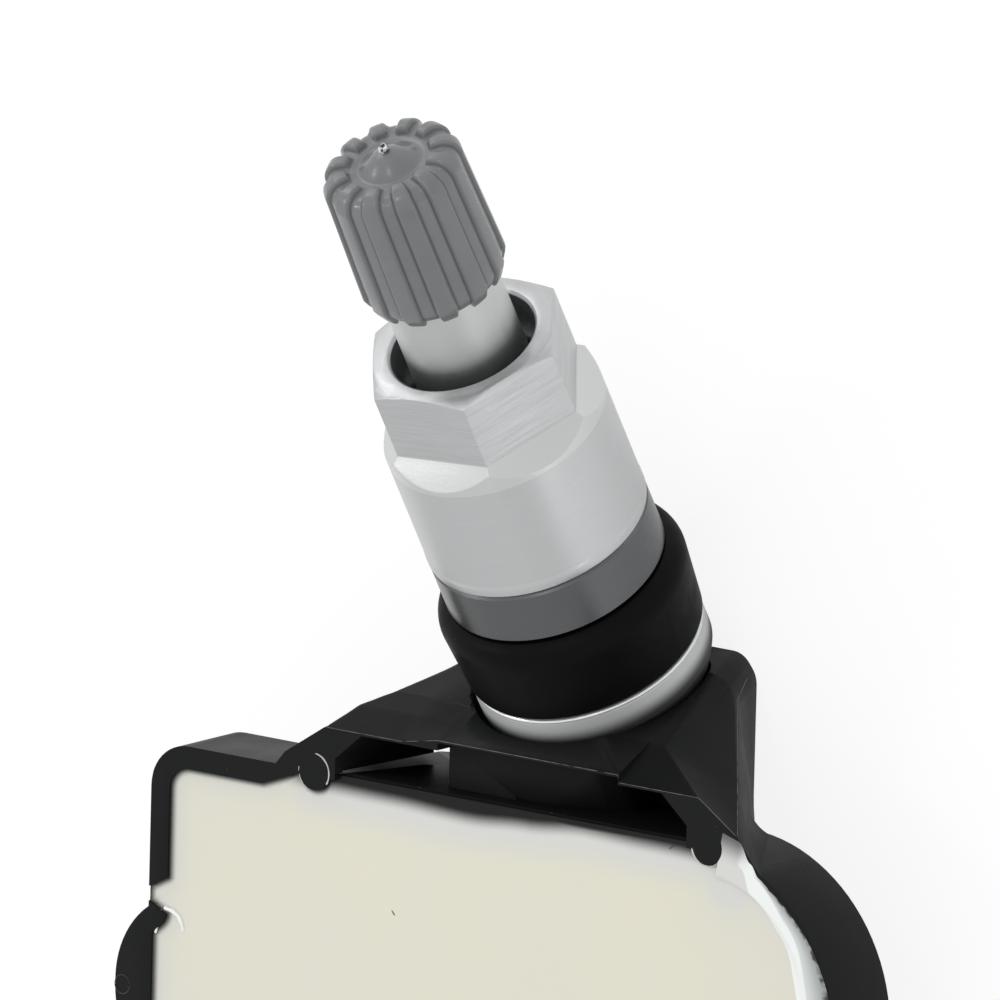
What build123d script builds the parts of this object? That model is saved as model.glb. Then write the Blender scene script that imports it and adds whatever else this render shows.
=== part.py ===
from build123d import *
from math import cos, radians, sin
import os

# Tyre pressure sensor: a potted tray with a clamp-in metal valve.
# X runs across the tray, Y towards the valve, Z out of the potted face.
# The origin is on the flat back of the yoke, in the plane that holds the valve axis.

os.makedirs("parts", exist_ok=True)

# Valve axis: the flange's top face is its zero, distances along it are heights
valve_tilt = 32.3
seat_y = 3.5
seat_z = 8.1

# Valve stem
flange_r = 7.87
flange_band = 2.2
flange_round = 0.35
foot_height = 5.2
foot_r = 6.0
dome_swell = 0.2
shank_r = 4.9
nut_thread_r = 4.5
nut_thread_runout = 4.0
stem_r = 3.84
tip_chamfer = 0.5
air_bore_r = 1.25
core_thread_r = 2.5
core_thread_depth = 4.4
core_bore_r = 2.0
core_bore_depth = 14.0

# Grommet
grommet_height = 6.15
grommet_ridge_r = 8.35
grommet_ridge_drop = 1.55
grommet_top_r = 7.4
grommet_foot_r = 8.0
grommet_neck_r = 5.6
grommet_neck_height = 3.0
grommet_foot_round = 0.3

# Clamp washer
washer_thickness = 3.9
washer_edge = 0.25
washer_recess = 0.9

# Collar nut
nut_height = 15.46
nut_across_flats = 12.0
nut_turned = 3.7
nut_hex_height = 5.2
nut_top_chamfer = 0.42
nut_top_land = 0.05
collar_inset = 0.45
collar_lip = 0.13
collar_lip_height = 0.6
nut_mouth_r = 4.85
nut_mouth_depth = 5.5
nut_mouth_chamfer = 0.2
nut_spigot_r = 6.3
nut_spigot_height = 0.8

# Valve cap
cap_gap = 4.7
cap_height = 10.65
cap_top_r = 4.65
cap_mouth_r = 4.87
cap_ribs = 12
cap_first_rib = 44.3
rib_angle = 14.5
rib_depth = 0.28
rib_lobe_rise = 0.4
rib_lobe_inner_r = 2.65
cap_shoulder = 1.0
cap_skirt = 1.1
cap_skirt_inset = 0.62
skirt_lift = 0.35
rib_tip_inset = 0.12
cap_roof = 1.5
cap_dish_r = 2.3
cap_dish_depth = 0.35
cap_cone_rise = 0.75
cap_cone_r = 0.45
seal_thickness = 0.9
seal_hole_r = 2.0

# Valve core
core_plug_height = 2.6
core_plug_drop = 1.1
core_bridge_half = 0.9
core_bridge_height = 1.2
core_barrel_r = 1.75
core_barrel_height = 4.6
core_barrel_bore_r = 1.2
core_barrel_floor = 0.7
core_seal_height = 1.5
core_seal_drop = 0.7
core_pin_r = 0.55
core_pin_drop = 0.35
core_pin_dome = 0.2
core_collar_height = 0.4
core_collar_r = 1.0
core_collar_drop = 0.35
core_cup_r = 1.5
core_cup_height = 1.2
core_tail = 0.8
spring_wire_r = 0.13
spring_coils = 5

# Retaining screw
screw_r = 2.0
screw_reach = 5.6
screw_head_r = 3.1
screw_head_height = 2.2
screw_air_r = 0.8
screw_drive_width = 3.2
screw_drive_depth = 1.1
screw_recess_r = 3.7
seat_floor = 2.0

# Tray
rim_height = 15.6
tray_back = 8.0
tray_wall = 1.5
tray_floor = 1.3
back_chamfer = 1.7
inner_chamfer = 1.0
tray_left = -29.3
tray_top = -6.4
tray_corner_r = 3.0
left_bulge = 2.6
bulge_start = -17.4
bulge_end = -22.5
bulge_corner_r = 6.7
cell_x = 15.0
cell_wall_r = 11.6
left_ledge = 1.4
ledge_gap = 0.2
notch_y = -16.55
notch_outer = 0.95
notch_inner = 2.5
notch_depth = 1.4
port_r = 0.8

# Yoke that carries the valve: four outlines, from the back to the rim
yoke_back_half = 6.6
yoke_back_top = 2.4
yoke_back_shoulder_x = 7.75
yoke_back_shoulder_y = 1.0
yoke_waist_z = 5.0
yoke_waist_half = 8.8
yoke_waist_top = 2.0
yoke_waist_shoulder_x = 10.1
yoke_waist_shoulder_y = 0.56
yoke_fold_z = 12.4
yoke_fold_left = 11.8
yoke_fold_right = 9.9
yoke_fold_top = -1.32
yoke_fold_shoulder_x = 15.9
yoke_fold_shoulder_y = -3.67
yoke_front_half = 15.2
yoke_front_top = -3.4
yoke_front_shoulder_x = 18.4
yoke_front_shoulder_y = -5.5
yoke_front_foot = 20.4
yoke_back_round = 1.7
yoke_front_round = 0.3
yoke_pad_end = -15.5
yoke_ramp = 5.5
brow_left = -8.9
brow_right = 8.67
brow_ramp = 2.9
brow_rise = 0.5
brow_fold_rise = 0.05
brow_undercut = 1.7
cup_wall = 1.4
cup_half = 6.7
cup_block_right = -1.2
cup_face_drop = 2.2
window_half = 14.3
window_corner_x = 12.2
window_corner_drop = 1.8
window_depth = 7.4
window_back_half = 12.0
window_brow = 0.15
slit_x = 8.5
slit_height = 1.3
slit_width = 5.6
post_x = 16.0
post_y = -6.5
post_r = 1.2
dam_half = 17.3
dam_slope = 3.0
dam_ledge = 1.1
dam_drop = 0.8

# Potting and electronics
potting_drop = 0.4
board_thickness = 1.0
board_left = -26.0
board_right = 5.6
board_top = -10.2
board_bottom = -27.4
board_corner_r = 1.0
cell_r = 8.0
cell_height = 3.2
cell_step = 0.9
cell_step_height = 0.35
tab_width = 4.0
tab_thickness = 0.2
tab_overlap = 4.0
chip_width = 7.4
chip_length = 8.6
chip_height = 1.9
chip_x = -15.0
chip_y = -19.0
gasket_r = 1.9
gasket_hole_r = 0.8
coil_length = 7.6
coil_width = 2.7
coil_height = 2.0
coil_flange = 1.2
coil_inset = 0.55
coil_x = -12.0
coil_y = -15.0
crystal_length = 3.2
crystal_width = 2.5
crystal_height = 0.9
crystal_x = -3.0
crystal_y = -14.0
capacitor_length = 1.6
capacitor_width = 0.8
capacitor_height = 0.8
capacitor_pitch = 2.2
capacitor_count = 5
capacitor_x = -8.0
capacitor_y = -22.5
antenna_thickness = 0.4
antenna_height = 1.8
antenna_inset = 1.0
antenna_length = 24.0

# Clearances
fit_gap = 0.05
face_gap = 0.1
seal_gap = 0.12
thread_gap = 0.05
pocket_gap = 0.4
dome_gap = 0.2
pin_gap = 0.12
neck_gap = 0.15
screw_gap = 0.2

# Places worked out from the sizes
collar_r = flange_r - collar_inset
washer_r = collar_r
washer_base = grommet_height + face_gap
nut_base = washer_base + washer_thickness + face_gap
nut_top = nut_base + nut_height
hex_base = nut_top - nut_hex_height
cap_base = nut_top + cap_gap
cap_ring = cap_base + cap_height - rib_lobe_rise
cap_ceiling = cap_ring - cap_roof
cap_bore_r = stem_r + fit_gap
seal_top = cap_ceiling - fit_gap
stem_tip = seal_top - seal_thickness - seal_gap
neck_top = grommet_height + grommet_neck_height
thread_top = nut_top - nut_thread_runout
foot_base = -foot_height
pocket_r = flange_r + pocket_gap
cup_r = pocket_r + cup_wall
dome_middle_height = -(flange_band + foot_height) / 2
dome_middle_r = (flange_r + foot_r) / 2 + dome_swell
tray_left_outer = tray_left - left_bulge
cell_y = tray_top - cell_wall_r
tray_bottom = cell_y - cell_wall_r
floor_top = tray_back + tray_floor
potting_top = rim_height - potting_drop
cell_base = floor_top + tab_thickness
board_base = cell_base + cell_height - board_thickness
board_face = board_base + board_thickness
window_top = yoke_front_top - window_brow
yoke_levels = (
    (
        0,
        yoke_back_half,
        yoke_back_half,
        yoke_back_top,
        yoke_back_shoulder_x,
        yoke_back_shoulder_y,
        yoke_back_round,
    ),
    (
        yoke_waist_z,
        yoke_waist_half,
        yoke_waist_half,
        yoke_waist_top,
        yoke_waist_shoulder_x,
        yoke_waist_shoulder_y,
        yoke_back_round,
    ),
    (
        yoke_fold_z,
        yoke_fold_left,
        yoke_fold_right,
        yoke_fold_top,
        yoke_fold_shoulder_x,
        yoke_fold_shoulder_y,
        yoke_front_round,
    ),
    (
        rim_height,
        yoke_front_half,
        yoke_front_half,
        yoke_front_top,
        yoke_front_shoulder_x,
        yoke_front_shoulder_y,
        yoke_front_round,
    ),
)

valve_axis_dir = Vector(0, cos(radians(valve_tilt)), sin(radians(valve_tilt)))
section_dir = Vector(0, -sin(radians(valve_tilt)), cos(radians(valve_tilt)))
seat_point = Vector(0, seat_y, seat_z)
valve_axis = Axis(seat_point, valve_axis_dir)
valve_plane = Plane(origin=seat_point, x_dir=(1, 0, 0), z_dir=valve_axis_dir)
valve_section = Plane(origin=seat_point, x_dir=(1, 0, 0), z_dir=section_dir)


def profile(*points):
    # straight-sided outline through its corners, added to the sketch that is open
    Polygon(*points, align=None)


def notch_outline():
    # pouring notch in the left wall, wider inside
    inside = tray_left + tray_wall
    profile(
        (tray_left, notch_y - notch_outer / 2),
        (inside, notch_y - notch_inner / 2),
        (inside, notch_y + notch_inner / 2),
        (tray_left, notch_y + notch_outer / 2),
    )


def yoke_foot(height):
    # half width of the yoke where it meets the tray
    share = height / rim_height
    return yoke_back_shoulder_x + share * (yoke_front_foot - yoke_back_shoulder_x)


# Outer edge of the tray, seen from the potted face
with BuildSketch() as tray_outline:
    with BuildLine():
        top = Line((tray_left + tray_corner_r, tray_top), (cell_x, tray_top))
        lobe = TangentArc(top @ 1, (cell_x, tray_bottom), tangent=top % 1)
        low = Line(lobe @ 1, (tray_left_outer + bulge_corner_r, tray_bottom))
        corner = TangentArc(
            low @ 1, (tray_left_outer, tray_bottom + bulge_corner_r), tangent=low % 1
        )
        side = Line(corner @ 1, (tray_left_outer, bulge_end))
        swell = TangentArc(side @ 1, (tray_left, bulge_start), tangent=side % 1)
        wall = Line(swell @ 1, (tray_left, tray_top - tray_corner_r))
        TangentArc(wall @ 1, top @ 0, tangent=wall % 1)
    make_face()

# Valve stem: one turned piece from the domed foot to the tip
with BuildPart() as valve_stem:
    with BuildSketch(valve_section):
        with BuildLine():
            Line((screw_r + thread_gap, foot_base), (foot_r, foot_base))
            ThreePointArc(
                (foot_r, foot_base),
                (dome_middle_r, dome_middle_height),
                (flange_r, -flange_band),
            )
            Line((flange_r, -flange_band), (flange_r, -flange_round))
            TangentArc(
                (flange_r, -flange_round), (flange_r - flange_round, 0), tangent=(0, 1)
            )
            Polyline(
                (flange_r - flange_round, 0),
                (shank_r, 0),
                (shank_r, neck_top - (shank_r - nut_thread_r)),
                (nut_thread_r, neck_top),
                (nut_thread_r, thread_top),
                (stem_r, thread_top + (nut_thread_r - stem_r)),
                (stem_r, stem_tip - tip_chamfer),
                (stem_r - tip_chamfer, stem_tip),
                (core_thread_r, stem_tip),
                (core_thread_r, stem_tip - core_thread_depth),
                (core_bore_r, stem_tip - core_thread_depth - (core_thread_r - core_bore_r)),
                (core_bore_r, stem_tip - core_bore_depth),
                (air_bore_r, stem_tip - core_bore_depth - (core_bore_r - air_bore_r)),
                (air_bore_r, foot_base + screw_reach + screw_r),
                (screw_r + thread_gap, foot_base + screw_reach + face_gap),
                (screw_r + thread_gap, foot_base),
            )
        make_face()
    revolve(axis=valve_axis)
valve_stem.part.label = "valve_stem"
export_step(valve_stem.part, "parts/valve_stem.step")

# Rubber grommet: ridged seat with a neck that fills the wheel's valve hole
with BuildPart() as grommet:
    ridge_height = grommet_height - grommet_ridge_drop
    with BuildSketch(valve_section):
        with BuildLine():
            lower = Polyline(
                (shank_r + fit_gap, 0),
                (grommet_foot_r - grommet_foot_round, 0),
                (grommet_foot_r, grommet_foot_round),
                (grommet_ridge_r, ridge_height),
            )
            shoulder = TangentArc(lower @ 1, (grommet_top_r, grommet_height), tangent=lower % 1)
            Polyline(
                shoulder @ 1,
                (grommet_neck_r, grommet_height),
                (grommet_neck_r, neck_top),
                (shank_r + fit_gap, neck_top),
                (shank_r + fit_gap, 0),
            )
        make_face()
    revolve(axis=valve_axis)
grommet.part.label = "grommet"
export_step(grommet.part, "parts/grommet.step")

# Clamp washer, recessed on top for the nut's spigot
with BuildPart() as clamp_washer:
    washer_top = washer_base + washer_thickness
    with BuildSketch(valve_section):
        profile(
            (grommet_neck_r + neck_gap, washer_base),
            (washer_r - washer_edge, washer_base),
            (washer_r, washer_base + washer_edge),
            (washer_r, washer_top - washer_edge),
            (washer_r - washer_edge, washer_top),
            (nut_spigot_r + fit_gap, washer_top),
            (nut_spigot_r + fit_gap, washer_top - washer_recess),
            (grommet_neck_r + neck_gap, washer_top - washer_recess),
        )
    revolve(axis=valve_axis)
clamp_washer.part.label = "clamp_washer"
export_step(clamp_washer.part, "parts/clamp_washer.step")

# Collar nut: hexagon on a round collar, with a flat shoulder under each face
with BuildPart() as collar_nut:
    lip_r = collar_r + collar_lip
    hex_apothem = nut_across_flats / 2
    skirt_apothem = lip_r + collar_lip
    shoulder_base = hex_base - (skirt_apothem - hex_apothem)
    chamfer_r = hex_apothem - nut_top_land
    chamfer_slope = nut_top_chamfer / (hex_apothem / cos(radians(30)) - chamfer_r)
    with BuildSketch(valve_plane.offset(nut_base)):
        RegularPolygon(skirt_apothem, 6, major_radius=False, rotation=nut_turned)
    extrude(amount=shoulder_base - nut_base)
    with BuildSketch(valve_plane.offset(shoulder_base)):
        RegularPolygon(skirt_apothem, 6, major_radius=False, rotation=nut_turned)
    extrude(amount=hex_base - shoulder_base, taper=45)
    with BuildSketch(valve_plane.offset(hex_base)):
        RegularPolygon(hex_apothem, 6, major_radius=False, rotation=nut_turned)
    extrude(amount=nut_hex_height)
    with BuildSketch(valve_section):
        profile(
            (0, nut_base),
            (lip_r, nut_base),
            (lip_r, nut_base + collar_lip_height),
            (collar_r, nut_base + collar_lip_height + collar_lip),
            (collar_r, nut_top - chamfer_slope * (collar_r - chamfer_r)),
            (chamfer_r, nut_top),
            (0, nut_top),
        )
    revolve(axis=valve_axis, mode=Mode.INTERSECT)
    with BuildSketch(valve_plane.offset(nut_base)):
        Circle(nut_spigot_r)
    extrude(amount=-nut_spigot_height)
    with BuildSketch(valve_section):
        profile(
            (0, nut_base - nut_spigot_height),
            (nut_thread_r + thread_gap, nut_base - nut_spigot_height),
            (nut_thread_r + thread_gap, nut_top - nut_mouth_depth),
            (nut_mouth_r, nut_top - nut_mouth_depth + (nut_mouth_r - nut_thread_r)),
            (nut_mouth_r, nut_top - nut_mouth_chamfer),
            (nut_mouth_r + nut_mouth_chamfer, nut_top),
            (0, nut_top),
        )
    revolve(axis=valve_axis, mode=Mode.SUBTRACT)
collar_nut.part.label = "collar_nut"
export_step(collar_nut.part, "parts/collar_nut.step")

# Valve cap: moulded shell whose ribs roll over the shoulder into raised lobes
with BuildPart() as valve_cap:
    groove_top_r = cap_top_r - rib_depth
    groove_mouth_r = cap_mouth_r - rib_depth
    skirt_r = cap_mouth_r - cap_skirt_inset
    with BuildSketch(valve_section):
        with BuildLine():
            side = Polyline(
                (0, cap_ceiling),
                (cap_bore_r, cap_ceiling),
                (cap_bore_r, cap_base + skirt_lift),
                (skirt_r, cap_base + skirt_lift),
                (groove_mouth_r, cap_base + cap_skirt),
                (groove_top_r, cap_ring - cap_shoulder),
            )
            roll = TangentArc(side @ 1, (groove_top_r - cap_shoulder, cap_ring), tangent=side % 1)
            Polyline(
                roll @ 1,
                (cap_dish_r, cap_ring),
                (cap_dish_r - cap_dish_depth, cap_ring - cap_dish_depth),
                (cap_cone_r, cap_ring - cap_dish_depth + cap_cone_rise),
                (0, cap_ring - cap_dish_depth + cap_cone_rise),
                (0, cap_ceiling),
            )
        make_face()
    revolve(axis=valve_axis)
    rib_planes = []
    for rib in range(cap_ribs):
        turn = radians(cap_first_rib + rib_angle / 2 + rib * 360 / cap_ribs)
        outward = Vector(cos(turn), 0, 0) + section_dir * sin(turn)
        rib_planes.append(Plane(seat_point, x_dir=outward, z_dir=outward.cross(valve_axis_dir)))
    rib_root_r = (cap_bore_r + groove_top_r) / 2
    lobe_top = cap_ring + rib_lobe_rise
    with BuildSketch(*rib_planes):
        with BuildLine():
            rise = Polyline(
                (rib_root_r, cap_base + cap_skirt),
                (cap_bore_r + rib_tip_inset, cap_base),
                (skirt_r, cap_base),
                (cap_mouth_r, cap_base + cap_skirt - skirt_lift),
                (cap_top_r, lobe_top - cap_shoulder),
            )
            bend = TangentArc(rise @ 1, (cap_top_r - cap_shoulder, lobe_top), tangent=rise % 1)
            Polyline(
                bend @ 1,
                (rib_lobe_inner_r + rib_lobe_rise, lobe_top),
                (rib_lobe_inner_r, cap_ring),
                (rib_lobe_inner_r, cap_ring - rib_lobe_rise),
                (rib_root_r, cap_ring - cap_shoulder),
                (rib_root_r, cap_base + cap_skirt),
            )
        make_face()
    revolve(axis=valve_axis, revolution_arc=rib_angle)
valve_cap.part.label = "valve_cap"
export_step(valve_cap.part, "parts/valve_cap.step")

# Sealing ring under the cap's roof
with BuildPart() as cap_seal:
    with BuildSketch(valve_plane.offset(seal_top - seal_thickness)):
        Circle(cap_bore_r - fit_gap)
        Circle(seal_hole_r, mode=Mode.SUBTRACT)
    extrude(amount=seal_thickness)
cap_seal.part.label = "cap_seal"
export_step(cap_seal.part, "parts/cap_seal.step")

# Valve core, from the plug at the tip to the cup at its lower end
plug_top = stem_tip - core_plug_drop
barrel_top = plug_top - core_plug_height
barrel_base = barrel_top - core_barrel_height
barrel_floor_top = barrel_base + core_barrel_floor
collar_top = barrel_top - core_collar_drop
cup_top = barrel_base - face_gap
with BuildPart() as core_plug:
    with BuildSketch(valve_plane.offset(barrel_top)):
        Circle(core_thread_r - thread_gap)
        Circle(core_pin_r + pin_gap, mode=Mode.SUBTRACT)
    extrude(amount=core_plug_height)
    with BuildSketch(valve_plane.offset(plug_top)):
        with Locations((0, core_thread_r), (0, -core_thread_r)):
            Rectangle(2 * core_thread_r, 2 * (core_thread_r - core_bridge_half))
    extrude(amount=-core_bridge_height, mode=Mode.SUBTRACT)
core_plug.part.label = "core_plug"
export_step(core_plug.part, "parts/core_plug.step")

with BuildPart() as core_barrel:
    with BuildSketch(valve_section):
        profile(
            (core_barrel_r, barrel_top),
            (core_barrel_bore_r, barrel_top),
            (core_barrel_bore_r, barrel_floor_top),
            (core_pin_r + pin_gap, barrel_floor_top),
            (core_pin_r + pin_gap, barrel_base),
            (core_barrel_r, barrel_base),
        )
    revolve(axis=valve_axis)
core_barrel.part.label = "core_barrel"
export_step(core_barrel.part, "parts/core_barrel.step")

with BuildPart() as core_seal:
    seal_ring_top = stem_tip - core_thread_depth - core_seal_drop
    with BuildSketch(valve_plane.offset(seal_ring_top - core_seal_height)):
        Circle(core_bore_r)
        Circle(core_barrel_r, mode=Mode.SUBTRACT)
    extrude(amount=core_seal_height)
core_seal.part.label = "core_seal"
export_step(core_seal.part, "parts/core_seal.step")

with BuildPart() as core_pin:
    pin_base = cup_top - core_cup_height - core_tail
    with BuildSketch(valve_section):
        profile(
            (0, pin_base),
            (core_pin_r, pin_base),
            (core_pin_r, collar_top - core_collar_height),
            (core_collar_r, collar_top - core_collar_height),
            (core_collar_r, collar_top),
            (core_pin_r, collar_top),
            (core_pin_r, stem_tip - core_pin_drop - core_pin_dome),
            (core_pin_r - core_pin_dome, stem_tip - core_pin_drop),
            (0, stem_tip - core_pin_drop),
        )
    revolve(axis=valve_axis)
core_pin.part.label = "core_pin"
export_step(core_pin.part, "parts/core_pin.step")

with BuildPart() as core_cup:
    with BuildSketch(valve_section):
        profile(
            (core_pin_r, cup_top),
            (core_cup_r, cup_top),
            (core_cup_r, cup_top - core_cup_height / 2),
            (core_pin_r + core_cup_height / 2, cup_top - core_cup_height),
            (core_pin_r, cup_top - core_cup_height),
        )
    revolve(axis=valve_axis)
core_cup.part.label = "core_cup"
export_step(core_cup.part, "parts/core_cup.step")

with BuildPart() as core_spring:
    spring_base = barrel_floor_top + spring_wire_r + face_gap
    spring_length = collar_top - core_collar_height - spring_wire_r - face_gap - spring_base
    coil_r = (core_pin_r + core_barrel_bore_r) / 2
    with BuildLine():
        coil = Helix(
            pitch=spring_length / spring_coils,
            height=spring_length,
            radius=coil_r,
            center=seat_point + valve_axis_dir * spring_base,
            direction=valve_axis_dir,
        )
    with BuildSketch(Plane(origin=coil @ 0, z_dir=coil % 0)):
        Circle(spring_wire_r)
    sweep(path=coil, is_frenet=True)
core_spring.part.label = "core_spring"
export_step(core_spring.part, "parts/core_spring.step")

# Hollow screw that pulls the foot into the yoke and lets the air through
with BuildPart() as retaining_screw:
    head_top = foot_base - seat_floor
    with BuildSketch(valve_plane.offset(head_top)):
        Circle(screw_head_r)
    extrude(amount=-screw_head_height)
    with BuildSketch(valve_plane.offset(head_top)):
        Circle(screw_r)
    extrude(amount=seat_floor + screw_reach)
    with BuildSketch(valve_plane.offset(head_top - screw_head_height)):
        RegularPolygon(screw_drive_width / 2, 6, major_radius=False)
    extrude(amount=screw_drive_depth, mode=Mode.SUBTRACT)
    with BuildSketch(valve_plane.offset(head_top - screw_head_height)):
        Circle(screw_air_r)
    extrude(amount=screw_head_height + seat_floor + screw_reach, mode=Mode.SUBTRACT)
retaining_screw.part.label = "retaining_screw"
export_step(retaining_screw.part, "parts/retaining_screw.step")

# Room inside the tray, which the potting fills
with BuildPart() as tray_room:
    with BuildSketch(Plane.XY.offset(floor_top)):
        add(tray_outline.sketch)
        offset(amount=-tray_wall)
    extrude(amount=rim_height - floor_top)
    chamfer(tray_room.faces().sort_by(Axis.Z)[0].edges(), inner_chamfer)
    with BuildSketch(Plane.XY.offset(floor_top)):
        with Locations((tray_left_outer, bulge_start - ledge_gap)):
            Rectangle(
                tray_wall + left_ledge,
                bulge_start - ledge_gap - tray_bottom,
                align=(Align.MIN, Align.MAX),
            )
    extrude(amount=rim_height - floor_top, mode=Mode.SUBTRACT)

# Shallow places that the potting runs into: the pouring notch and the dam's ledge
with BuildPart() as potting_edges:
    with BuildSketch(Plane.XY.offset(rim_height - notch_depth)):
        notch_outline()
    extrude(amount=notch_depth)
    with BuildSketch(Plane.XY.offset(rim_height - dam_drop - potting_drop)):
        profile(
            (-dam_half - dam_slope, tray_top - tray_wall),
            (-dam_half - dam_slope, tray_top - 2 * tray_wall),
            (dam_half, tray_top - 2 * tray_wall),
            (dam_half, tray_top - tray_wall + dam_ledge),
            (-dam_half, tray_top - tray_wall + dam_ledge),
        )
        with Locations((-post_x, post_y), (post_x, post_y)):
            Circle(post_r, mode=Mode.SUBTRACT)
    extrude(amount=dam_drop + potting_drop)

# Cup that backs the valve's pocket, with a flat face towards the window
with BuildPart() as seat_cup:
    with BuildSketch(valve_plane.offset(foot_base - seat_floor)):
        Circle(cup_r)
    extrude(amount=foot_height + seat_floor - flange_band)
    with BuildSketch(Plane.XY.offset(rim_height - cup_face_drop)):
        with Locations((0, tray_top)):
            Rectangle(2 * cup_half, yoke_waist_top - tray_top, align=(Align.CENTER, Align.MIN))
    extrude(amount=cup_face_drop - window_depth, mode=Mode.INTERSECT)
    with BuildSketch(Plane.XY.offset(rim_height - cup_face_drop)):
        with Locations((-cup_half, tray_top)):
            Rectangle(
                cup_half + cup_block_right, window_top - tray_top, align=(Align.MIN, Align.MIN)
            )
    extrude(amount=cup_face_drop - window_depth)

# Housing: tray and yoke moulded in one
with BuildPart() as housing:
    with BuildSketch(Plane.XY.offset(tray_back)):
        add(tray_outline.sketch)
    extrude(amount=rim_height - tray_back)
    chamfer(housing.faces().sort_by(Axis.Z)[0].edges(), back_chamfer)
    foot_y = tray_top - tray_wall
    for level in range(len(yoke_levels) - 1):
        # four rounded corners in each outline, each matched with the next outline's
        for height, left, right, top, shoulder_x, shoulder_y, corner_r in yoke_levels[level : level + 2]:
            with BuildSketch(Plane.XY.offset(height)):
                with BuildLine():
                    arch = FilletPolyline(
                        (-yoke_foot(height), foot_y),
                        (-shoulder_x, shoulder_y),
                        (-left, top),
                        (right, top),
                        (shoulder_x, shoulder_y),
                        (yoke_foot(height), foot_y),
                        radius=corner_r,
                    )
                    Line(arch @ 1, arch @ 0)
                make_face()
        loft(ruled=True)
    for height, top, rise in (
        (rim_height, yoke_front_top, brow_rise),
        (yoke_fold_z, yoke_fold_top, brow_fold_rise),
    ):
        with BuildSketch(Plane.XY.offset(height)):
            profile(
                (brow_left, top),
                (brow_left + brow_ramp, top + rise),
                (brow_right, top + rise),
                (brow_right, top),
            )
    loft(ruled=True)
    with BuildSketch(Plane.YZ.offset(-yoke_back_shoulder_x)):
        profile(
            (tray_top, 0),
            (tray_top, floor_top),
            (yoke_pad_end - yoke_ramp, floor_top),
            (yoke_pad_end, 0),
        )
    extrude(amount=2 * yoke_back_shoulder_x)
    with BuildSketch(Plane.XY.offset(rim_height)):
        profile(
            (-window_half, tray_top),
            (-window_half, window_top - window_corner_drop),
            (-window_corner_x, window_top),
            (window_corner_x, window_top),
            (window_half, window_top - window_corner_drop),
            (window_half, tray_top),
        )
    with BuildSketch(Plane.XY.offset(rim_height - window_depth)):
        profile(
            (-window_back_half, tray_top),
            (-window_back_half, window_top - window_corner_drop),
            (-window_back_half, window_top),
            (window_back_half, window_top),
            (window_back_half, window_top - window_corner_drop),
            (window_back_half, tray_top),
        )
    loft(ruled=True, mode=Mode.SUBTRACT)
    with BuildSketch(Plane.YZ.offset(brow_left + brow_ramp)):
        profile(
            (window_top, rim_height),
            (window_top, rim_height - brow_undercut),
            (window_top + brow_rise, rim_height),
        )
    extrude(amount=brow_right - brow_left - brow_ramp, mode=Mode.SUBTRACT)
    with BuildSketch(Plane.XY.offset(rim_height - window_depth)):
        # slit that opens the window's left end to the back
        with Locations((-slit_x, tray_top)):
            Rectangle(slit_width, slit_height, align=(Align.MAX, Align.MIN))
    extrude(amount=-window_depth, mode=Mode.SUBTRACT)
    add(seat_cup.part)
    with BuildSketch(valve_section):
        with BuildLine():
            Line((0, foot_base), (foot_r, foot_base))
            ThreePointArc(
                (foot_r, foot_base),
                (dome_middle_r + dome_gap, dome_middle_height),
                (pocket_r, -flange_band),
            )
            Polyline(
                (pocket_r, -flange_band),
                (pocket_r, grommet_height),
                (0, grommet_height),
                (0, foot_base),
            )
        make_face()
    revolve(axis=valve_axis, mode=Mode.SUBTRACT)
    with BuildSketch(valve_plane.offset(foot_base)):
        Circle(screw_r + screw_gap)
    extrude(amount=-seat_floor, mode=Mode.SUBTRACT)
    with BuildSketch(valve_plane.offset(foot_base - seat_floor)):
        Circle(screw_recess_r)
    extrude(amount=-2 * seat_z / sin(radians(valve_tilt)), mode=Mode.SUBTRACT)
    add(tray_room.part, mode=Mode.SUBTRACT)
    add(potting_edges.part, mode=Mode.SUBTRACT)
    with BuildSketch(Plane.XY.offset(rim_height)):
        with Locations((0, tray_top + fit_gap)):
            Rectangle(2 * window_half, tray_wall + fit_gap, align=(Align.CENTER, Align.MAX))
        with Locations((-post_x, post_y), (post_x, post_y)):
            Circle(post_r, mode=Mode.SUBTRACT)
    extrude(amount=-dam_drop, mode=Mode.SUBTRACT)
    with BuildSketch(Plane.XY.offset(tray_back)):
        with Locations((chip_x, chip_y)):
            Circle(port_r)
    extrude(amount=tray_floor, mode=Mode.SUBTRACT)
housing.part.label = "housing"
export_step(housing.part, "parts/housing.step")

# Circuit board, with its parts below and above it
with BuildPart() as circuit_board:
    with BuildSketch(Plane.XY.offset(board_base)):
        with Locations((board_left, board_bottom)):
            Rectangle(board_right - board_left, board_top - board_bottom, align=(Align.MIN, Align.MIN))
    extrude(amount=board_thickness)
    fillet(circuit_board.edges().filter_by(Axis.Z), board_corner_r)
circuit_board.part.label = "circuit_board"
export_step(circuit_board.part, "parts/circuit_board.step")

with BuildPart() as battery_cell:
    with BuildSketch(Plane.XY.offset(cell_base)):
        with Locations((cell_x, cell_y)):
            Circle(cell_r - cell_step)
    extrude(amount=cell_height)
    with BuildSketch(Plane.XY.offset(cell_base + cell_step_height)):
        with Locations((cell_x, cell_y)):
            Circle(cell_r)
    extrude(amount=cell_height - cell_step_height)
battery_cell.part.label = "battery_cell"
export_step(battery_cell.part, "parts/battery_cell.step")

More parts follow.
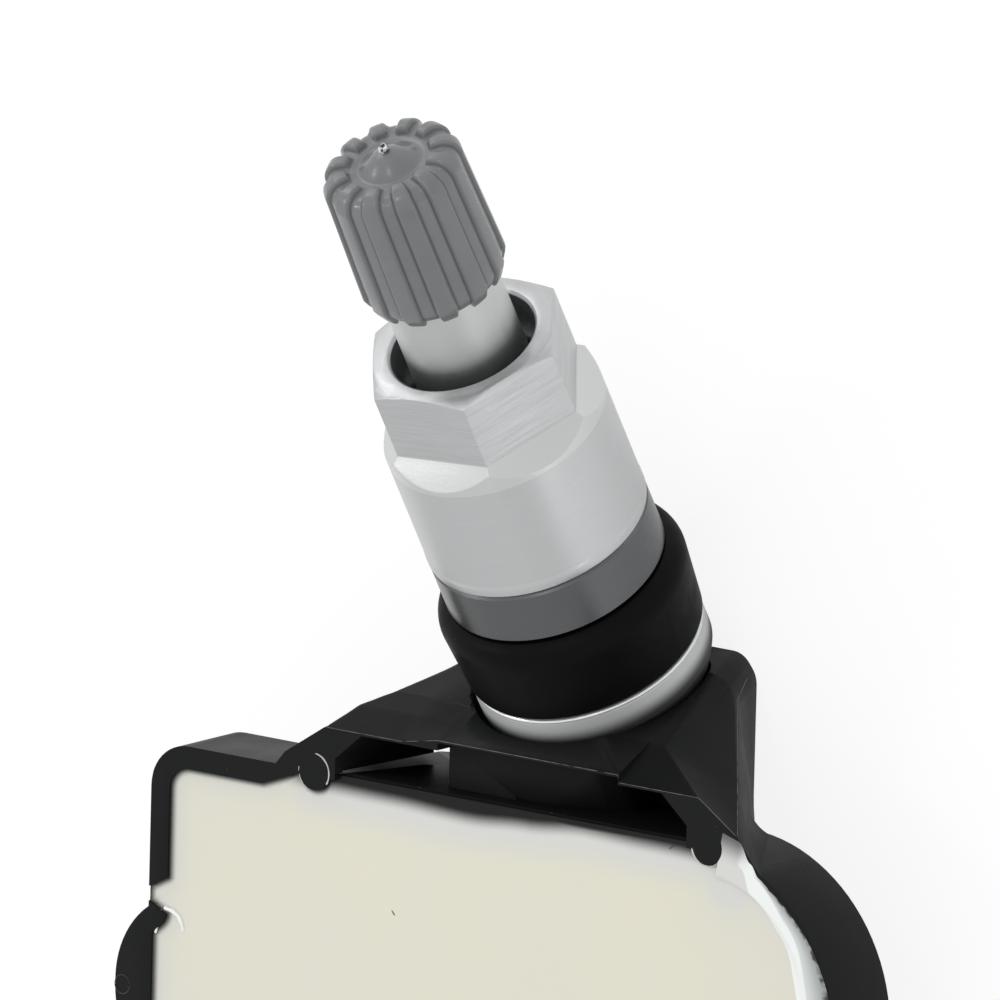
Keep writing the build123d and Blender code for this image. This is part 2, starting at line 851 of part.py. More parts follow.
tab_end = cell_x - cell_r + tab_overlap
with BuildPart() as battery_tab_top:
    with BuildSketch(Plane.XY.offset(board_face)):
        with Locations((board_right - tab_overlap, cell_y)):
            Rectangle(tab_end - board_right + tab_overlap, tab_width, align=(Align.MIN, Align.CENTER))
    extrude(amount=tab_thickness)
battery_tab_top.part.label = "battery_tab_top"
export_step(battery_tab_top.part, "parts/battery_tab_top.step")

with BuildPart() as battery_tab_bottom:
    riser_x = board_right - tab_overlap / 2
    with BuildSketch(Plane.XZ.offset(-cell_y - tab_width / 2)):
        profile(
            (tab_end, floor_top),
            (riser_x, floor_top),
            (riser_x, board_base),
            (riser_x + tab_thickness, board_base),
            (riser_x + tab_thickness, floor_top + tab_thickness),
            (tab_end, floor_top + tab_thickness),
        )
    extrude(amount=tab_width)
battery_tab_bottom.part.label = "battery_tab_bottom"
export_step(battery_tab_bottom.part, "parts/battery_tab_bottom.step")

with BuildPart() as sensor_chip:
    with BuildSketch(Plane.XY.offset(board_base - chip_height)):
        with Locations((chip_x, chip_y)):
            Rectangle(chip_width, chip_length)
    extrude(amount=chip_height)
    with BuildSketch(Plane.XY.offset(board_base - chip_height)):
        with Locations((chip_x, chip_y)):
            Circle(gasket_hole_r)
    extrude(amount=chip_height / 2, mode=Mode.SUBTRACT)
sensor_chip.part.label = "sensor_chip"
export_step(sensor_chip.part, "parts/sensor_chip.step")

with BuildPart() as port_gasket:
    with BuildSketch(Plane.XY.offset(floor_top)):
        with Locations((chip_x, chip_y)):
            Circle(gasket_r)
            Circle(gasket_hole_r, mode=Mode.SUBTRACT)
    extrude(amount=board_base - chip_height - floor_top)
port_gasket.part.label = "port_gasket"
export_step(port_gasket.part, "parts/port_gasket.step")

with BuildPart() as coil_core:
    with BuildSketch(Plane.XY.offset(board_face)):
        with Locations((coil_x, coil_y)):
            Rectangle(coil_length, coil_width)
    extrude(amount=coil_height)
    waist_x = coil_length - 2 * coil_flange
    with BuildSketch(Plane.YZ.offset(coil_x - waist_x / 2)):
        with Locations((coil_y, board_face + coil_height / 2)):
            Rectangle(coil_width, coil_height)
            Rectangle(
                coil_width - 2 * coil_inset, coil_height - 2 * coil_inset, mode=Mode.SUBTRACT
            )
    extrude(amount=waist_x, mode=Mode.SUBTRACT)
coil_core.part.label = "coil_core"
export_step(coil_core.part, "parts/coil_core.step")

with BuildPart() as coil_winding:
    with BuildSketch(Plane.YZ.offset(coil_x - waist_x / 2)):
        with Locations((coil_y, board_face + coil_height / 2)):
            Rectangle(coil_width, coil_height)
            Rectangle(
                coil_width - 2 * coil_inset, coil_height - 2 * coil_inset, mode=Mode.SUBTRACT
            )
    extrude(amount=waist_x)
coil_winding.part.label = "coil_winding"
export_step(coil_winding.part, "parts/coil_winding.step")

with BuildPart() as crystal:
    with BuildSketch(Plane.XY.offset(board_face)):
        with Locations((crystal_x, crystal_y)):
            Rectangle(crystal_length, crystal_width)
    extrude(amount=crystal_height)
crystal.part.label = "crystal"
export_step(crystal.part, "parts/crystal.step")

with BuildPart() as chip_capacitors:
    with BuildSketch(Plane.XY.offset(board_face)):
        with Locations((capacitor_x, capacitor_y)):
            with GridLocations(capacitor_pitch, 1, capacitor_count, 1):
                Rectangle(capacitor_width, capacitor_length)
    extrude(amount=capacitor_height)
chip_capacitors.part.label = "chip_capacitors"
export_step(chip_capacitors.part, "parts/chip_capacitors.step")

with BuildPart() as antenna_loop:
    left = board_left + antenna_inset
    low = board_bottom + antenna_inset
    with BuildSketch(Plane.XY.offset(board_face)):
        profile(
            (left, board_top - antenna_inset),
            (left, low),
            (left + antenna_length, low),
            (left + antenna_length, low + antenna_thickness),
            (left + antenna_thickness, low + antenna_thickness),
            (left + antenna_thickness, board_top - antenna_inset),
        )
    extrude(amount=antenna_height)
antenna_loop.part.label = "antenna_loop"
export_step(antenna_loop.part, "parts/antenna_loop.step")

# Potting: fills the tray around the electronics
with BuildPart() as potting:
    add(tray_room.part)
    add(potting_edges.part)
    with BuildSketch(Plane.XY.offset(potting_top)):
        add(tray_outline.sketch)
        offset(amount=tray_wall)
    extrude(amount=potting_drop, mode=Mode.SUBTRACT)
    for piece in (
        circuit_board,
        battery_cell,
        battery_tab_top,
        battery_tab_bottom,
        sensor_chip,
        port_gasket,
        coil_core,
        coil_winding,
        crystal,
        chip_capacitors,
        antenna_loop,
    ):
        add(piece.part, mode=Mode.SUBTRACT)
    with BuildSketch(Plane.XY.offset(floor_top)):
        with Locations((chip_x, chip_y)):
            Circle(gasket_hole_r)
    extrude(amount=board_base - floor_top - chip_height / 2, mode=Mode.SUBTRACT)
potting.part.label = "potting"
export_step(potting.part, "parts/potting.step")
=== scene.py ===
import bpy
import bmesh
from math import acos, atan2, cos, degrees, exp, hypot, pi, radians, sin
from mathutils import Matrix, Vector, kdtree, noise
from mathutils.bvhtree import BVHTree


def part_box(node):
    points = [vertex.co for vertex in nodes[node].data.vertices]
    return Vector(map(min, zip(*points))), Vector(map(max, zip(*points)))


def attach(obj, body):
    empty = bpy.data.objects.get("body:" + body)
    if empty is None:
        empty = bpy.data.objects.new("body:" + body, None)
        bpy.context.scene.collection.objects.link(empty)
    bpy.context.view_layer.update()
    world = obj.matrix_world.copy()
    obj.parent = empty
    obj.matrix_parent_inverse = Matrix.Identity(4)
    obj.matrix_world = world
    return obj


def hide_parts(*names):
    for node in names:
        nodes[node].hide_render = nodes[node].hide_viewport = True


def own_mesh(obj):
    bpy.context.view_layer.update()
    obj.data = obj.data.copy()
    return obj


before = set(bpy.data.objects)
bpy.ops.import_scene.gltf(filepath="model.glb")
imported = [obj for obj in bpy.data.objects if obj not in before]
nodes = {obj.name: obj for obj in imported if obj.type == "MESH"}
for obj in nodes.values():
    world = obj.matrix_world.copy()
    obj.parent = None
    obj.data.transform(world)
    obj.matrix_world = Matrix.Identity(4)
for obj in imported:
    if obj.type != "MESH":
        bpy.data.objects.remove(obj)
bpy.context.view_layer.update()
mm = 0.001
print("frame loaded,", len(nodes), "solids")

stance = {"tilt": 32.3, "seat": (0.0, 3.5, 8.1)}  # the valve's axis, as the solids have it
valveTurn = radians(stance["tilt"] - 90)
valveSeat = Vector(stance["seat"]) * mm
valveFrame = Matrix.Translation(valveSeat) @ Matrix.Rotation(valveTurn, 4, "X")

# camera in mm; studio in metres, each lamp as place, size and power
shot = {"look": (-5.63, 12.12, 10.15), "right": (0.788, 0.0245, -0.615), "back": (0.598, 0.2065, 0.774),
        "distance": 2497, "lens": 1400, "sensor": 36, "clipEnd": 20}
studio = {"horizon": 0.78, "zenith": 0.92, "zenithFrom": 0.9, "aim": (0, 0.01, 0.01),
          "lamps": {"key": ((0.12, 0.42, 0.66), 0.14, 0.45), "fill": ((-0.55, -0.25, 0.40), 0.4, 0.08),
                    "back": ((-0.50, 0.62, 0.16), 0.3, 0.6), "side": ((0.75, -0.30, 0.10), 0.22, 0.17),
                    "spark": ((-0.52, 0.25, 0.60), 0.1, 0.7)},
          "floorHalf": 3, "floorDrop": 0.0001, "floorMatte": 0.82,
          "paper": (0.16, 0.70), "glow": (0.86, 0.30)}  # both: as the camera sees the floor, as metal does


def aimCamera():
    back = Vector(shot["back"]).normalized()
    right = Vector(shot["right"])
    right = (right - back * right.dot(back)).normalized()
    eye = bpy.data.cameras.new("camera")
    eye.lens = shot["lens"]
    eye.sensor_width = shot["sensor"]
    eye.clip_end = shot["clipEnd"]
    camera = bpy.data.objects.new("camera", eye)
    place = (Vector(shot["look"]) + back * shot["distance"]) * mm
    facing = Matrix((right, back.cross(right), back)).transposed().to_4x4()
    camera.matrix_world = Matrix.Translation(place) @ facing
    bpy.context.scene.collection.objects.link(camera)
    bpy.context.scene.camera = camera


# shader helpers
def addNode(tree, kind, inputs=None, **settings):
    made = tree.nodes.new(kind)
    for name, value in settings.items():
        setattr(made, name, value)
    for name, value in (inputs or {}).items():
        if isinstance(value, bpy.types.NodeSocket):
            tree.links.new(value, made.inputs[name])
        else:
            made.inputs[name].default_value = value
    return made


def calc(tree, operation, first, second=0.0):
    return addNode(tree, "ShaderNodeMath", {0: first, 1: second}, operation=operation).outputs[0]


def scaled(tree, value, share, base):
    return calc(tree, "ADD", calc(tree, "MULTIPLY", value, share), base)


def rampUp(tree, value, low, high, toLow=0.0, toHigh=1.0):
    made = addNode(tree, "ShaderNodeMapRange", {0: value, 1: low, 2: high, 3: toLow, 4: toHigh})
    made.interpolation_type = "SMOOTHSTEP"
    return made.outputs[0]


def blendColour(tree, share, first, second):
    made = addNode(tree, "ShaderNodeMix", data_type="RGBA")
    for socket, value in zip((made.inputs[0], made.inputs[6], made.inputs[7]), (share, first, second)):
        if isinstance(value, bpy.types.NodeSocket):
            tree.links.new(value, socket)
        else:
            socket.default_value = value
    return made.outputs[2]


def attribute(tree, name):
    return addNode(tree, "ShaderNodeAttribute", attribute_name=name).outputs["Fac"]


def grey(level):
    return (level, level, level, 1)


def lightStudio():
    world = bpy.data.worlds.new("studio")
    bpy.context.scene.world = world
    world.use_nodes = True
    tree = world.node_tree
    tree.nodes.clear()
    where = addNode(tree, "ShaderNodeTexCoord").outputs["Generated"]
    height = addNode(tree, "ShaderNodeSeparateXYZ", {0: where}).outputs["Z"]
    level = rampUp(tree, height, 0.0, studio["zenithFrom"], studio["horizon"], studio["zenith"])
    tent = addNode(tree, "ShaderNodeBackground", {"Strength": level, "Color": grey(1.0)})
    addNode(tree, "ShaderNodeOutputWorld", {"Surface": tent.outputs[0]})
    for name, (place, size, power) in studio["lamps"].items():
        lamp = bpy.data.lights.new(name, "AREA")
        lamp.energy = power
        lamp.size = size
        holder = bpy.data.objects.new(name, lamp)
        holder.location = place
        holder.rotation_euler = (Vector(place) - Vector(studio["aim"])).to_track_quat("Z", "Y").to_euler()
        bpy.context.scene.collection.objects.link(holder)


def layFloor():
    bm = bmesh.new()
    bmesh.ops.create_grid(bm, x_segments=2, y_segments=2, size=studio["floorHalf"])
    bmesh.ops.translate(bm, verts=bm.verts, vec=(0, 0, -studio["floorDrop"]))
    mesh = bpy.data.meshes.new("paperFloor")
    bm.to_mesh(mesh)
    bm.free()
    floor = bpy.data.objects.new("paperFloor", mesh)
    bpy.context.scene.collection.objects.link(floor)
    paper = bpy.data.materials.new("paper")
    paper.use_nodes = True
    tree = paper.node_tree
    tree.nodes.clear()
    ray = addNode(tree, "ShaderNodeLightPath").outputs
    seen = calc(tree, "MAXIMUM", ray["Is Camera Ray"], ray["Is Glossy Ray"])
    seen = calc(tree, "MAXIMUM", seen, ray["Is Transmission Ray"])
    matte = addNode(tree, "ShaderNodeBsdfDiffuse", {"Color": grey(studio["floorMatte"])}).outputs[0]
    (faint, full), (bright, dim) = studio["paper"], studio["glow"]
    shade = blendColour(tree, ray["Is Camera Ray"], grey(full), grey(faint))
    sheet = addNode(tree, "ShaderNodeBsdfDiffuse", {"Color": shade}).outputs[0]
    level = scaled(tree, ray["Is Camera Ray"], bright - dim, dim)
    glow = addNode(tree, "ShaderNodeEmission", {"Strength": level}).outputs[0]
    lit = addNode(tree, "ShaderNodeAddShader", {0: glow, 1: sheet}).outputs[0]
    mixed = addNode(tree, "ShaderNodeMixShader", {0: seen, 1: matte, 2: lit}).outputs[0]
    addNode(tree, "ShaderNodeOutputMaterial", {"Surface": mixed})
    mesh.materials.append(paper)


bpy.context.scene.view_settings.view_transform = "Standard"
aimCamera()
lightStudio()
layFloor()
print("camera, light and floor set")


# shared surface effects
def newGroup(name, inputs, outputs):
    tree = bpy.data.node_groups.new(name, "ShaderNodeTree")
    for label, value in inputs:
        made = tree.interface.new_socket(label, in_out="INPUT", socket_type="NodeSocketFloat")
        made.default_value = value
    for label in outputs:
        tree.interface.new_socket(label, in_out="OUTPUT", socket_type="NodeSocketFloat")
    return tree, tree.nodes.new("NodeGroupInput").outputs, tree.nodes.new("NodeGroupOutput").inputs


def makeMouldGrain():
    tree, given, put = newGroup("mouldGrain", [("Grain", 9000), ("Cloud", 300)], ["Grain", "Cloud"])
    where = addNode(tree, "ShaderNodeTexCoord").outputs["Object"]
    fine = addNode(tree, "ShaderNodeTexNoise",
                   {"Vector": where, "Scale": given["Grain"], "Detail": 3.0, "Roughness": 0.6})
    wide = addNode(tree, "ShaderNodeTexNoise", {"Vector": where, "Scale": given["Cloud"], "Detail": 4.0})
    tree.links.new(fine.outputs["Fac"], put["Grain"])
    tree.links.new(wide.outputs["Fac"], put["Cloud"])
    return tree


def makeLooseDust():
    tree, given, put = newGroup("looseDust", [("Scale", 900), ("Size", 0.09)], ["Mask"])
    where = addNode(tree, "ShaderNodeTexCoord").outputs["Object"]
    cells = addNode(tree, "ShaderNodeTexVoronoi", {"Vector": where, "Scale": given["Scale"]})
    pick = addNode(tree, "ShaderNodeTexWhiteNoise", {"Vector": cells.outputs["Position"]}).outputs["Value"]
    size = calc(tree, "MULTIPLY", calc(tree, "POWER", pick, 4.0), given["Size"])  # few large, many small
    near = calc(tree, "LESS_THAN", cells.outputs["Distance"], size)
    tree.links.new(near, put["Mask"])
    return tree


def makeToolMarks():
    tree, given, put = newGroup("toolMarks", [("Along", 9000), ("Around", 250)], ["Marks", "Height", "Turn"])
    where = addNode(tree, "ShaderNodeTexCoord").outputs["Object"]
    own = addNode(tree, "ShaderNodeMapping",
                  {"Vector": where, "Location": valveSeat, "Rotation": (valveTurn, 0, 0)})
    own.vector_type = "TEXTURE"  # into the valve's own axes
    part = addNode(tree, "ShaderNodeSeparateXYZ", {0: own.outputs[0]}).outputs
    x = calc(tree, "MULTIPLY", part["X"], given["Around"])
    y = calc(tree, "MULTIPLY", part["Y"], given["Around"])
    z = calc(tree, "MULTIPLY", part["Z"], given["Along"])
    stretched = addNode(tree, "ShaderNodeCombineXYZ", {0: x, 1: y, 2: z}).outputs[0]
    lines = addNode(tree, "ShaderNodeTexNoise",
                    {"Vector": stretched, "Scale": 1.0, "Detail": 3.0, "Roughness": 0.65})
    tree.links.new(lines.outputs["Fac"], put["Marks"])
    tree.links.new(calc(tree, "MULTIPLY", part["Z"], 1 / mm), put["Height"])
    tree.links.new(calc(tree, "ARCTAN2", part["Y"], part["X"]), put["Turn"])
    return tree


mouldGrain, looseDust, toolMarks = makeMouldGrain(), makeLooseDust(), makeToolMarks()
noiseSpan = {"cloud": (0.3, 0.7), "marks": (0.2, 0.8), "middle": 0.5}  # where the noises mostly lie


def placeGroup(tree, group, **values):
    made = tree.nodes.new("ShaderNodeGroup")
    made.node_tree = group
    for name, value in values.items():
        made.inputs[name].default_value = value
    return made.outputs


def newFinish(name, **constants):
    finish = bpy.data.materials.new(name)
    finish.use_nodes = True
    tree = finish.node_tree
    shader = tree.nodes["Principled BSDF"]
    for socket, value in constants.items():
        shader.inputs[socket.replace("_", " ")].default_value = value
    return finish, tree, shader


def colourOn(tree, shader, colour):
    tree.links.new(colour, shader.inputs["Base Color"])


def roughOn(tree, shader, value, span, rough):
    tree.links.new(rampUp(tree, value, *noiseSpan[span], *rough), shader.inputs["Roughness"])


def bumpOn(tree, shader, height, strength, depth):
    made = addNode(tree, "ShaderNodeBump", {"Height": height, "Strength": strength, "Distance": depth * mm})
    tree.links.new(made.outputs[0], shader.inputs["Normal"])


def metres(values):
    return [value * mm for value in values]


# moulded black plastic and rubber
plasticLook = {"dark": (0.0080, 0.0084, 0.0090, 1), "pale": (0.0098, 0.0102, 0.0108, 1), "specular": 0.10,
               "dust": (0.12, 0.12, 0.115, 1), "dustScale": 900, "dustSize": 0.07,
               "grain": 7000, "cloud": 260, "rough": (0.42, 0.50), "bump": (0.12, 0.03)}
rubberLook = {"dark": (0.0028, 0.0029, 0.0031, 1), "pale": (0.0040, 0.0041, 0.0043, 1), "specular": 0.06,
              "dust": (0.07, 0.07, 0.068, 1), "dustScale": 1000, "dustSize": 0.06,
              "grain": 5200, "cloud": 420, "rough": (0.42, 0.54), "bump": (0.10, 0.03)}


def makeMoulded(name, look):
    finish, tree, shader = newFinish(name, Specular_IOR_Level=look["specular"])
    grain = placeGroup(tree, mouldGrain, Grain=look["grain"], Cloud=look["cloud"])
    dust = placeGroup(tree, looseDust, Scale=look["dustScale"], Size=look["dustSize"])["Mask"]
    body = blendColour(tree, grain["Cloud"], look["dark"], look["pale"])
    colourOn(tree, shader, blendColour(tree, dust, body, look["dust"]))
    roughOn(tree, shader, grain["Cloud"], "cloud", look["rough"])
    bumpOn(tree, shader, grain["Grain"], *look["bump"])
    return finish


# cast resin, with painted shade (the edge colour) darkening it beside the walls and along the dam, by its
# own mesh's attributes; places in mm
resinLook = {"cream": (0.722, 0.700, 0.578, 1), "cool": (0.708, 0.693, 0.594, 1),
             "pale": (0.655, 0.655, 0.635, 1), "edge": (0.005, 0.005, 0.005, 1),
             "damShade": (-8.0, -6.8), "damPale": (-10.5, -7.8), "damEnd": (19.5, 16.5), "grit": 0.05,
             "specular": 0.2, "rough": 0.34, "grain": 2500, "cloud": 90, "bump": (0.03, 0.02)}


def makeResin():
    look = resinLook
    gloss = {"Specular_IOR_Level": look["specular"], "Roughness": look["rough"]}
    finish, tree, shader = newFinish("castResin", **gloss)
    grain = placeGroup(tree, mouldGrain, Grain=look["grain"], Cloud=look["cloud"])
    where = addNode(tree, "ShaderNodeTexCoord").outputs["Object"]
    part = addNode(tree, "ShaderNodeSeparateXYZ", {0: where}).outputs
    shift = calc(tree, "MULTIPLY", attribute(tree, "damShift"), mm)
    offset = calc(tree, "SUBTRACT", grain["Grain"], noiseSpan["middle"])
    grit = calc(tree, "MULTIPLY", offset, look["grit"] * mm)
    reach = calc(tree, "ADD", calc(tree, "SUBTRACT", part["Y"], shift), grit)
    onDam = rampUp(tree, calc(tree, "ABSOLUTE", part["X"]), *metres(look["damEnd"]))
    # painted shade: darker towards the edge colour along the dam's front and beside the walls
    front = calc(tree, "MULTIPLY", rampUp(tree, reach, *metres(look["damShade"])), onDam)
    beyond = calc(tree, "MULTIPLY", rampUp(tree, reach, *metres(look["damPale"])), onDam)
    fade = calc(tree, "MAXIMUM", rampUp(tree, attribute(tree, "wallShade"), 0.0, 1.0), front)
    body = blendColour(tree, rampUp(tree, grain["Cloud"], *noiseSpan["cloud"]), look["cream"], look["cool"])
    body = blendColour(tree, calc(tree, "MAXIMUM", attribute(tree, "wallPale"), beyond), body, look["pale"])
    colourOn(tree, shader, blendColour(tree, fade, body, look["edge"]))
    bumpOn(tree, shader, grain["Grain"], *look["bump"])
    return finish


lipLook = {"highlight": (0.84, 0.87, 0.85, 1), "thin": (0.30, 0.32, 0.32, 1), "bare": (0.014, 0.014, 0.015, 1),
           "shade": (0.10, 0.10, 0.10, 1), "specular": 0.5, "rough": 0.22, "torn": 0.35,
           "tornSpan": (0.93, 1.05), "grain": 3000, "cloud": 1500, "bump": (0.05, 0.02)}


def makeResinLip():
    look = lipLook
    gloss = {"Specular_IOR_Level": look["specular"], "Roughness": look["rough"]}
    finish, tree, shader = newFinish("resinLip", **gloss)
    grain = placeGroup(tree, mouldGrain, Grain=look["grain"], Cloud=look["cloud"])
    thin = attribute(tree, "thinEdge")
    offset = calc(tree, "SUBTRACT", grain["Cloud"], noiseSpan["middle"])
    ragged = calc(tree, "ADD", thin, calc(tree, "MULTIPLY", offset, look["torn"]))
    tone = blendColour(tree, attribute(tree, "lipCream"), resinLook["pale"], resinLook["cream"])
    # painted highlight on the band where the resin climbs the right wall towards the light
    tone = blendColour(tree, attribute(tree, "lipHighlight"), tone, look["highlight"])
    tone = blendColour(tree, thin, tone, look["thin"])
    tone = blendColour(tree, rampUp(tree, ragged, *look["tornSpan"]), tone, look["bare"])
    colourOn(tree, shader, blendColour(tree, attribute(tree, "lipShade"), tone, look["shade"]))
    bumpOn(tree, shader, grain["Grain"], *look["bump"])
    return finish


# machined nut: ruled flats above hexFoot, a sanded shoulder above shoulderFoot, a smooth collar below
nutLook = {"metal": (0.55, 0.56, 0.565, 1), "dull": (0.49, 0.50, 0.505, 1), "sanded": (0.61, 0.62, 0.62, 1),
           "pit": (0.16, 0.16, 0.16, 1), "pitScale": 1100, "pitSize": 0.05, "pitShare": 0.6,
           "hexFoot": (20.45, 20.55), "shoulderFoot": (18.7, 18.8), "lines": (0.9, 0.02),
           "sand": (0.9, 0.06), "contrast": (0.7, 0.3), "along": 9000, "around": 260,
           "grain": 6500, "cloud": 900, "rough": (0.36, 0.44), "bump": (0.30, 0.03)}


def makeNutMetal():
    look = nutLook
    finish, tree, shader = newFinish("nutMetal", Metallic=1.0)
    marks = placeGroup(tree, toolMarks, Along=look["along"], Around=look["around"])
    grain = placeGroup(tree, mouldGrain, Grain=look["grain"], Cloud=look["cloud"])
    flats = rampUp(tree, marks["Height"], *look["hexFoot"])
    sanded = calc(tree, "SUBTRACT", rampUp(tree, marks["Height"], *look["shoulderFoot"]), flats)
    lines = calc(tree, "MULTIPLY", marks["Marks"], scaled(tree, flats, *look["lines"]))
    sand = calc(tree, "MULTIPLY", grain["Grain"], scaled(tree, sanded, *look["sand"]))
    pits = placeGroup(tree, looseDust, Scale=look["pitScale"], Size=look["pitSize"])["Mask"]
    ruled = rampUp(tree, marks["Marks"], *noiseSpan["cloud"])
    shade = calc(tree, "MULTIPLY", ruled, scaled(tree, flats, *look["contrast"]))
    tone = blendColour(tree, shade, look["metal"], look["dull"])
    tone = blendColour(tree, sanded, tone, look["sanded"])
    pitted = calc(tree, "MULTIPLY", pits, look["pitShare"])
    colourOn(tree, shader, blendColour(tree, pitted, tone, look["pit"]))
    tree.links.new(rampUp(tree, shade, 0.0, 1.0, *look["rough"]), shader.inputs["Roughness"])
    bumpOn(tree, shader, calc(tree, "ADD", lines, sand), *look["bump"])
    return finish


# turned stem with a blasted flange, darker towards the cup as a painted reflection of the black cup, and the
# cap's thread as a bump
stemLook = {"metal": (0.56, 0.57, 0.57, 1), "dull": (0.52, 0.53, 0.53, 1), "flange": (0.62, 0.63, 0.63, 1),
            "cupReflection": (0.05, 0.05, 0.052, 1), "flangeTop": (0.8, 0.3), "cupReflectionSpan": (-0.8, -2.0),
            "flangeMatte": 0.6, "flangeRough": 0.2, "along": 12000, "around": 60, "rough": (0.34, 0.44),
            "threadPitch": 0.794, "threadStart": (31.2, 31.6), "threadDepth": 20.0, "lineDepth": 0.15,
            "bump": (0.6, 0.03)}


def makeStemMetal():
    look = stemLook
    finish, tree, shader = newFinish("stemMetal")
    marks = placeGroup(tree, toolMarks, Along=look["along"], Around=look["around"])
    flange = rampUp(tree, marks["Height"], *look["flangeTop"])
    tone = blendColour(tree, marks["Marks"], look["dull"], look["metal"])
    tone = blendColour(tree, flange, tone, look["flange"])
    # painted reflection: the flange darkens towards the cup, as if reflecting it
    cupReflection = rampUp(tree, marks["Height"], *look["cupReflectionSpan"])
    colourOn(tree, shader, blendColour(tree, cupReflection, tone, look["cupReflection"]))
    metallic = calc(tree, "SUBTRACT", 1.0, calc(tree, "MULTIPLY", flange, look["flangeMatte"]))
    tree.links.new(metallic, shader.inputs["Metallic"])
    rough = rampUp(tree, marks["Marks"], *noiseSpan["marks"], *look["rough"])
    rough = calc(tree, "ADD", rough, calc(tree, "MULTIPLY", flange, look["flangeRough"]))
    tree.links.new(rough, shader.inputs["Roughness"])
    turn = calc(tree, "DIVIDE", marks["Turn"], 2 * pi)
    turns = calc(tree, "SUBTRACT", calc(tree, "DIVIDE", marks["Height"], look["threadPitch"]), turn)
    thread = calc(tree, "PINGPONG", turns, 0.5)
    thread = calc(tree, "MULTIPLY", thread, rampUp(tree, marks["Height"], *look["threadStart"]))
    lines = calc(tree, "MULTIPLY", marks["Marks"], look["lineDepth"])
    thread = calc(tree, "MULTIPLY", thread, look["threadDepth"])
    bumpOn(tree, shader, calc(tree, "ADD", thread, lines), *look["bump"])
    return finish


washerLook = {"metal": (0.135, 0.138, 0.142, 1), "dull": (0.125, 0.128, 0.132, 1),
              "along": 15000, "around": 40, "rough": (0.26, 0.30), "bump": (0.02, 0.02)}


def makeWasherMetal():
    look = washerLook
    finish, tree, shader = newFinish("washerMetal", Metallic=1.0)
    marks = placeGroup(tree, toolMarks, Along=look["along"], Around=look["around"])
    colourOn(tree, shader, blendColour(tree, marks["Marks"], look["dull"], look["metal"]))
    roughOn(tree, shader, marks["Marks"], "marks", look["rough"])
    bumpOn(tree, shader, marks["Marks"], *look["bump"])
    return finish


# satin cap plastic, paler where the skirt is thin, with dirt and painted shade in the grooves
capLook = {"grey": (0.162, 0.167, 0.171, 1), "pale": (0.174, 0.179, 0.183, 1),
           "skirt": (0.215, 0.205, 0.185, 1), "grooveShade": (0.050, 0.052, 0.054, 1),
           "mark": (0.06, 0.06, 0.06, 1), "markScale": 1000, "markSize": 0.045,
           "skirtSpan": (31.2, 30.5), "skirtShare": 0.6, "specular": 0.5, "grain": 6000, "cloud": 500,
           "rough": (0.21, 0.26), "bump": (0.08, 0.03)}


def makeCapPlastic():
    look = capLook
    finish, tree, shader = newFinish("capPlastic", Specular_IOR_Level=look["specular"])
    grain = placeGroup(tree, mouldGrain, Grain=look["grain"], Cloud=look["cloud"])
    height = placeGroup(tree, toolMarks)["Height"]
    dust = placeGroup(tree, looseDust, Scale=look["markScale"], Size=look["markSize"])["Mask"]
    body = blendColour(tree, rampUp(tree, grain["Cloud"], *noiseSpan["cloud"]), look["grey"], look["pale"])
    thin = calc(tree, "MULTIPLY", rampUp(tree, height, *look["skirtSpan"]), look["skirtShare"])
    body = blendColour(tree, thin, body, look["skirt"])
    # dirt and painted shade in the grooves
    body = blendColour(tree, attribute(tree, "grooveShade"), body, look["grooveShade"])
    colourOn(tree, shader, blendColour(tree, dust, body, look["mark"]))
    roughOn(tree, shader, grain["Cloud"], "cloud", look["rough"])
    bumpOn(tree, shader, grain["Grain"], *look["bump"])
    return finish


# plain finishes for what is hidden or small: two colours, clouded
plainLook = {"swing": 0.05, "bumpDepth": 0.02}


def makePlain(name, low, high, rough, metallic=0.0, grainScale=4000, bump=0.08, cloudScale=500,
              spread=(0.0, 1.0)):
    finish, tree, shader = newFinish(name, Metallic=metallic)
    grain = placeGroup(tree, mouldGrain, Grain=grainScale, Cloud=cloudScale)
    colourOn(tree, shader, blendColour(tree, rampUp(tree, grain["Cloud"], *spread), (*low, 1), (*high, 1)))
    roughOn(tree, shader, grain["Cloud"], "cloud", (rough - plainLook["swing"], rough + plainLook["swing"]))
    bumpOn(tree, shader, grain["Grain"], bump, plainLook["bumpDepth"])
    return finish


plastic, rubber = makeMoulded("mouldedPlastic", plasticLook), makeMoulded("grommetRubber", rubberLook)
resin, resinLip, capPlastic = makeResin(), makeResinLip(), makeCapPlastic()
nutMetal, stemMetal, washerMetal = makeNutMetal(), makeStemMetal(), makeWasherMetal()
sealRubber = makePlain("sealRubber", (0.010, 0.010, 0.010), (0.018, 0.018, 0.018), 0.6)
brass = makePlain("coreBrass", (0.60, 0.43, 0.18), (0.68, 0.50, 0.23), 0.3, 1.0)
steel = makePlain("springSteel", (0.42, 0.42, 0.43), (0.52, 0.52, 0.53), 0.28, 1.0)
plated = makePlain("platedSteel", (0.56, 0.56, 0.55), (0.66, 0.66, 0.64), 0.25, 1.0)
boardMask = makePlain("boardMask", (0.010, 0.075, 0.030), (0.014, 0.10, 0.040), 0.35)
chipBlack = makePlain("chipBlack", (0.012, 0.012, 0.013), (0.020, 0.020, 0.021), 0.55)
ferrite = makePlain("ferrite", (0.03, 0.03, 0.032), (0.05, 0.05, 0.052), 0.6)
copper = makePlain("copper", (0.62, 0.30, 0.16), (0.72, 0.38, 0.22), 0.32, 1.0)
ceramic = makePlain("ceramic", (0.32, 0.23, 0.14), (0.42, 0.31, 0.20), 0.5)

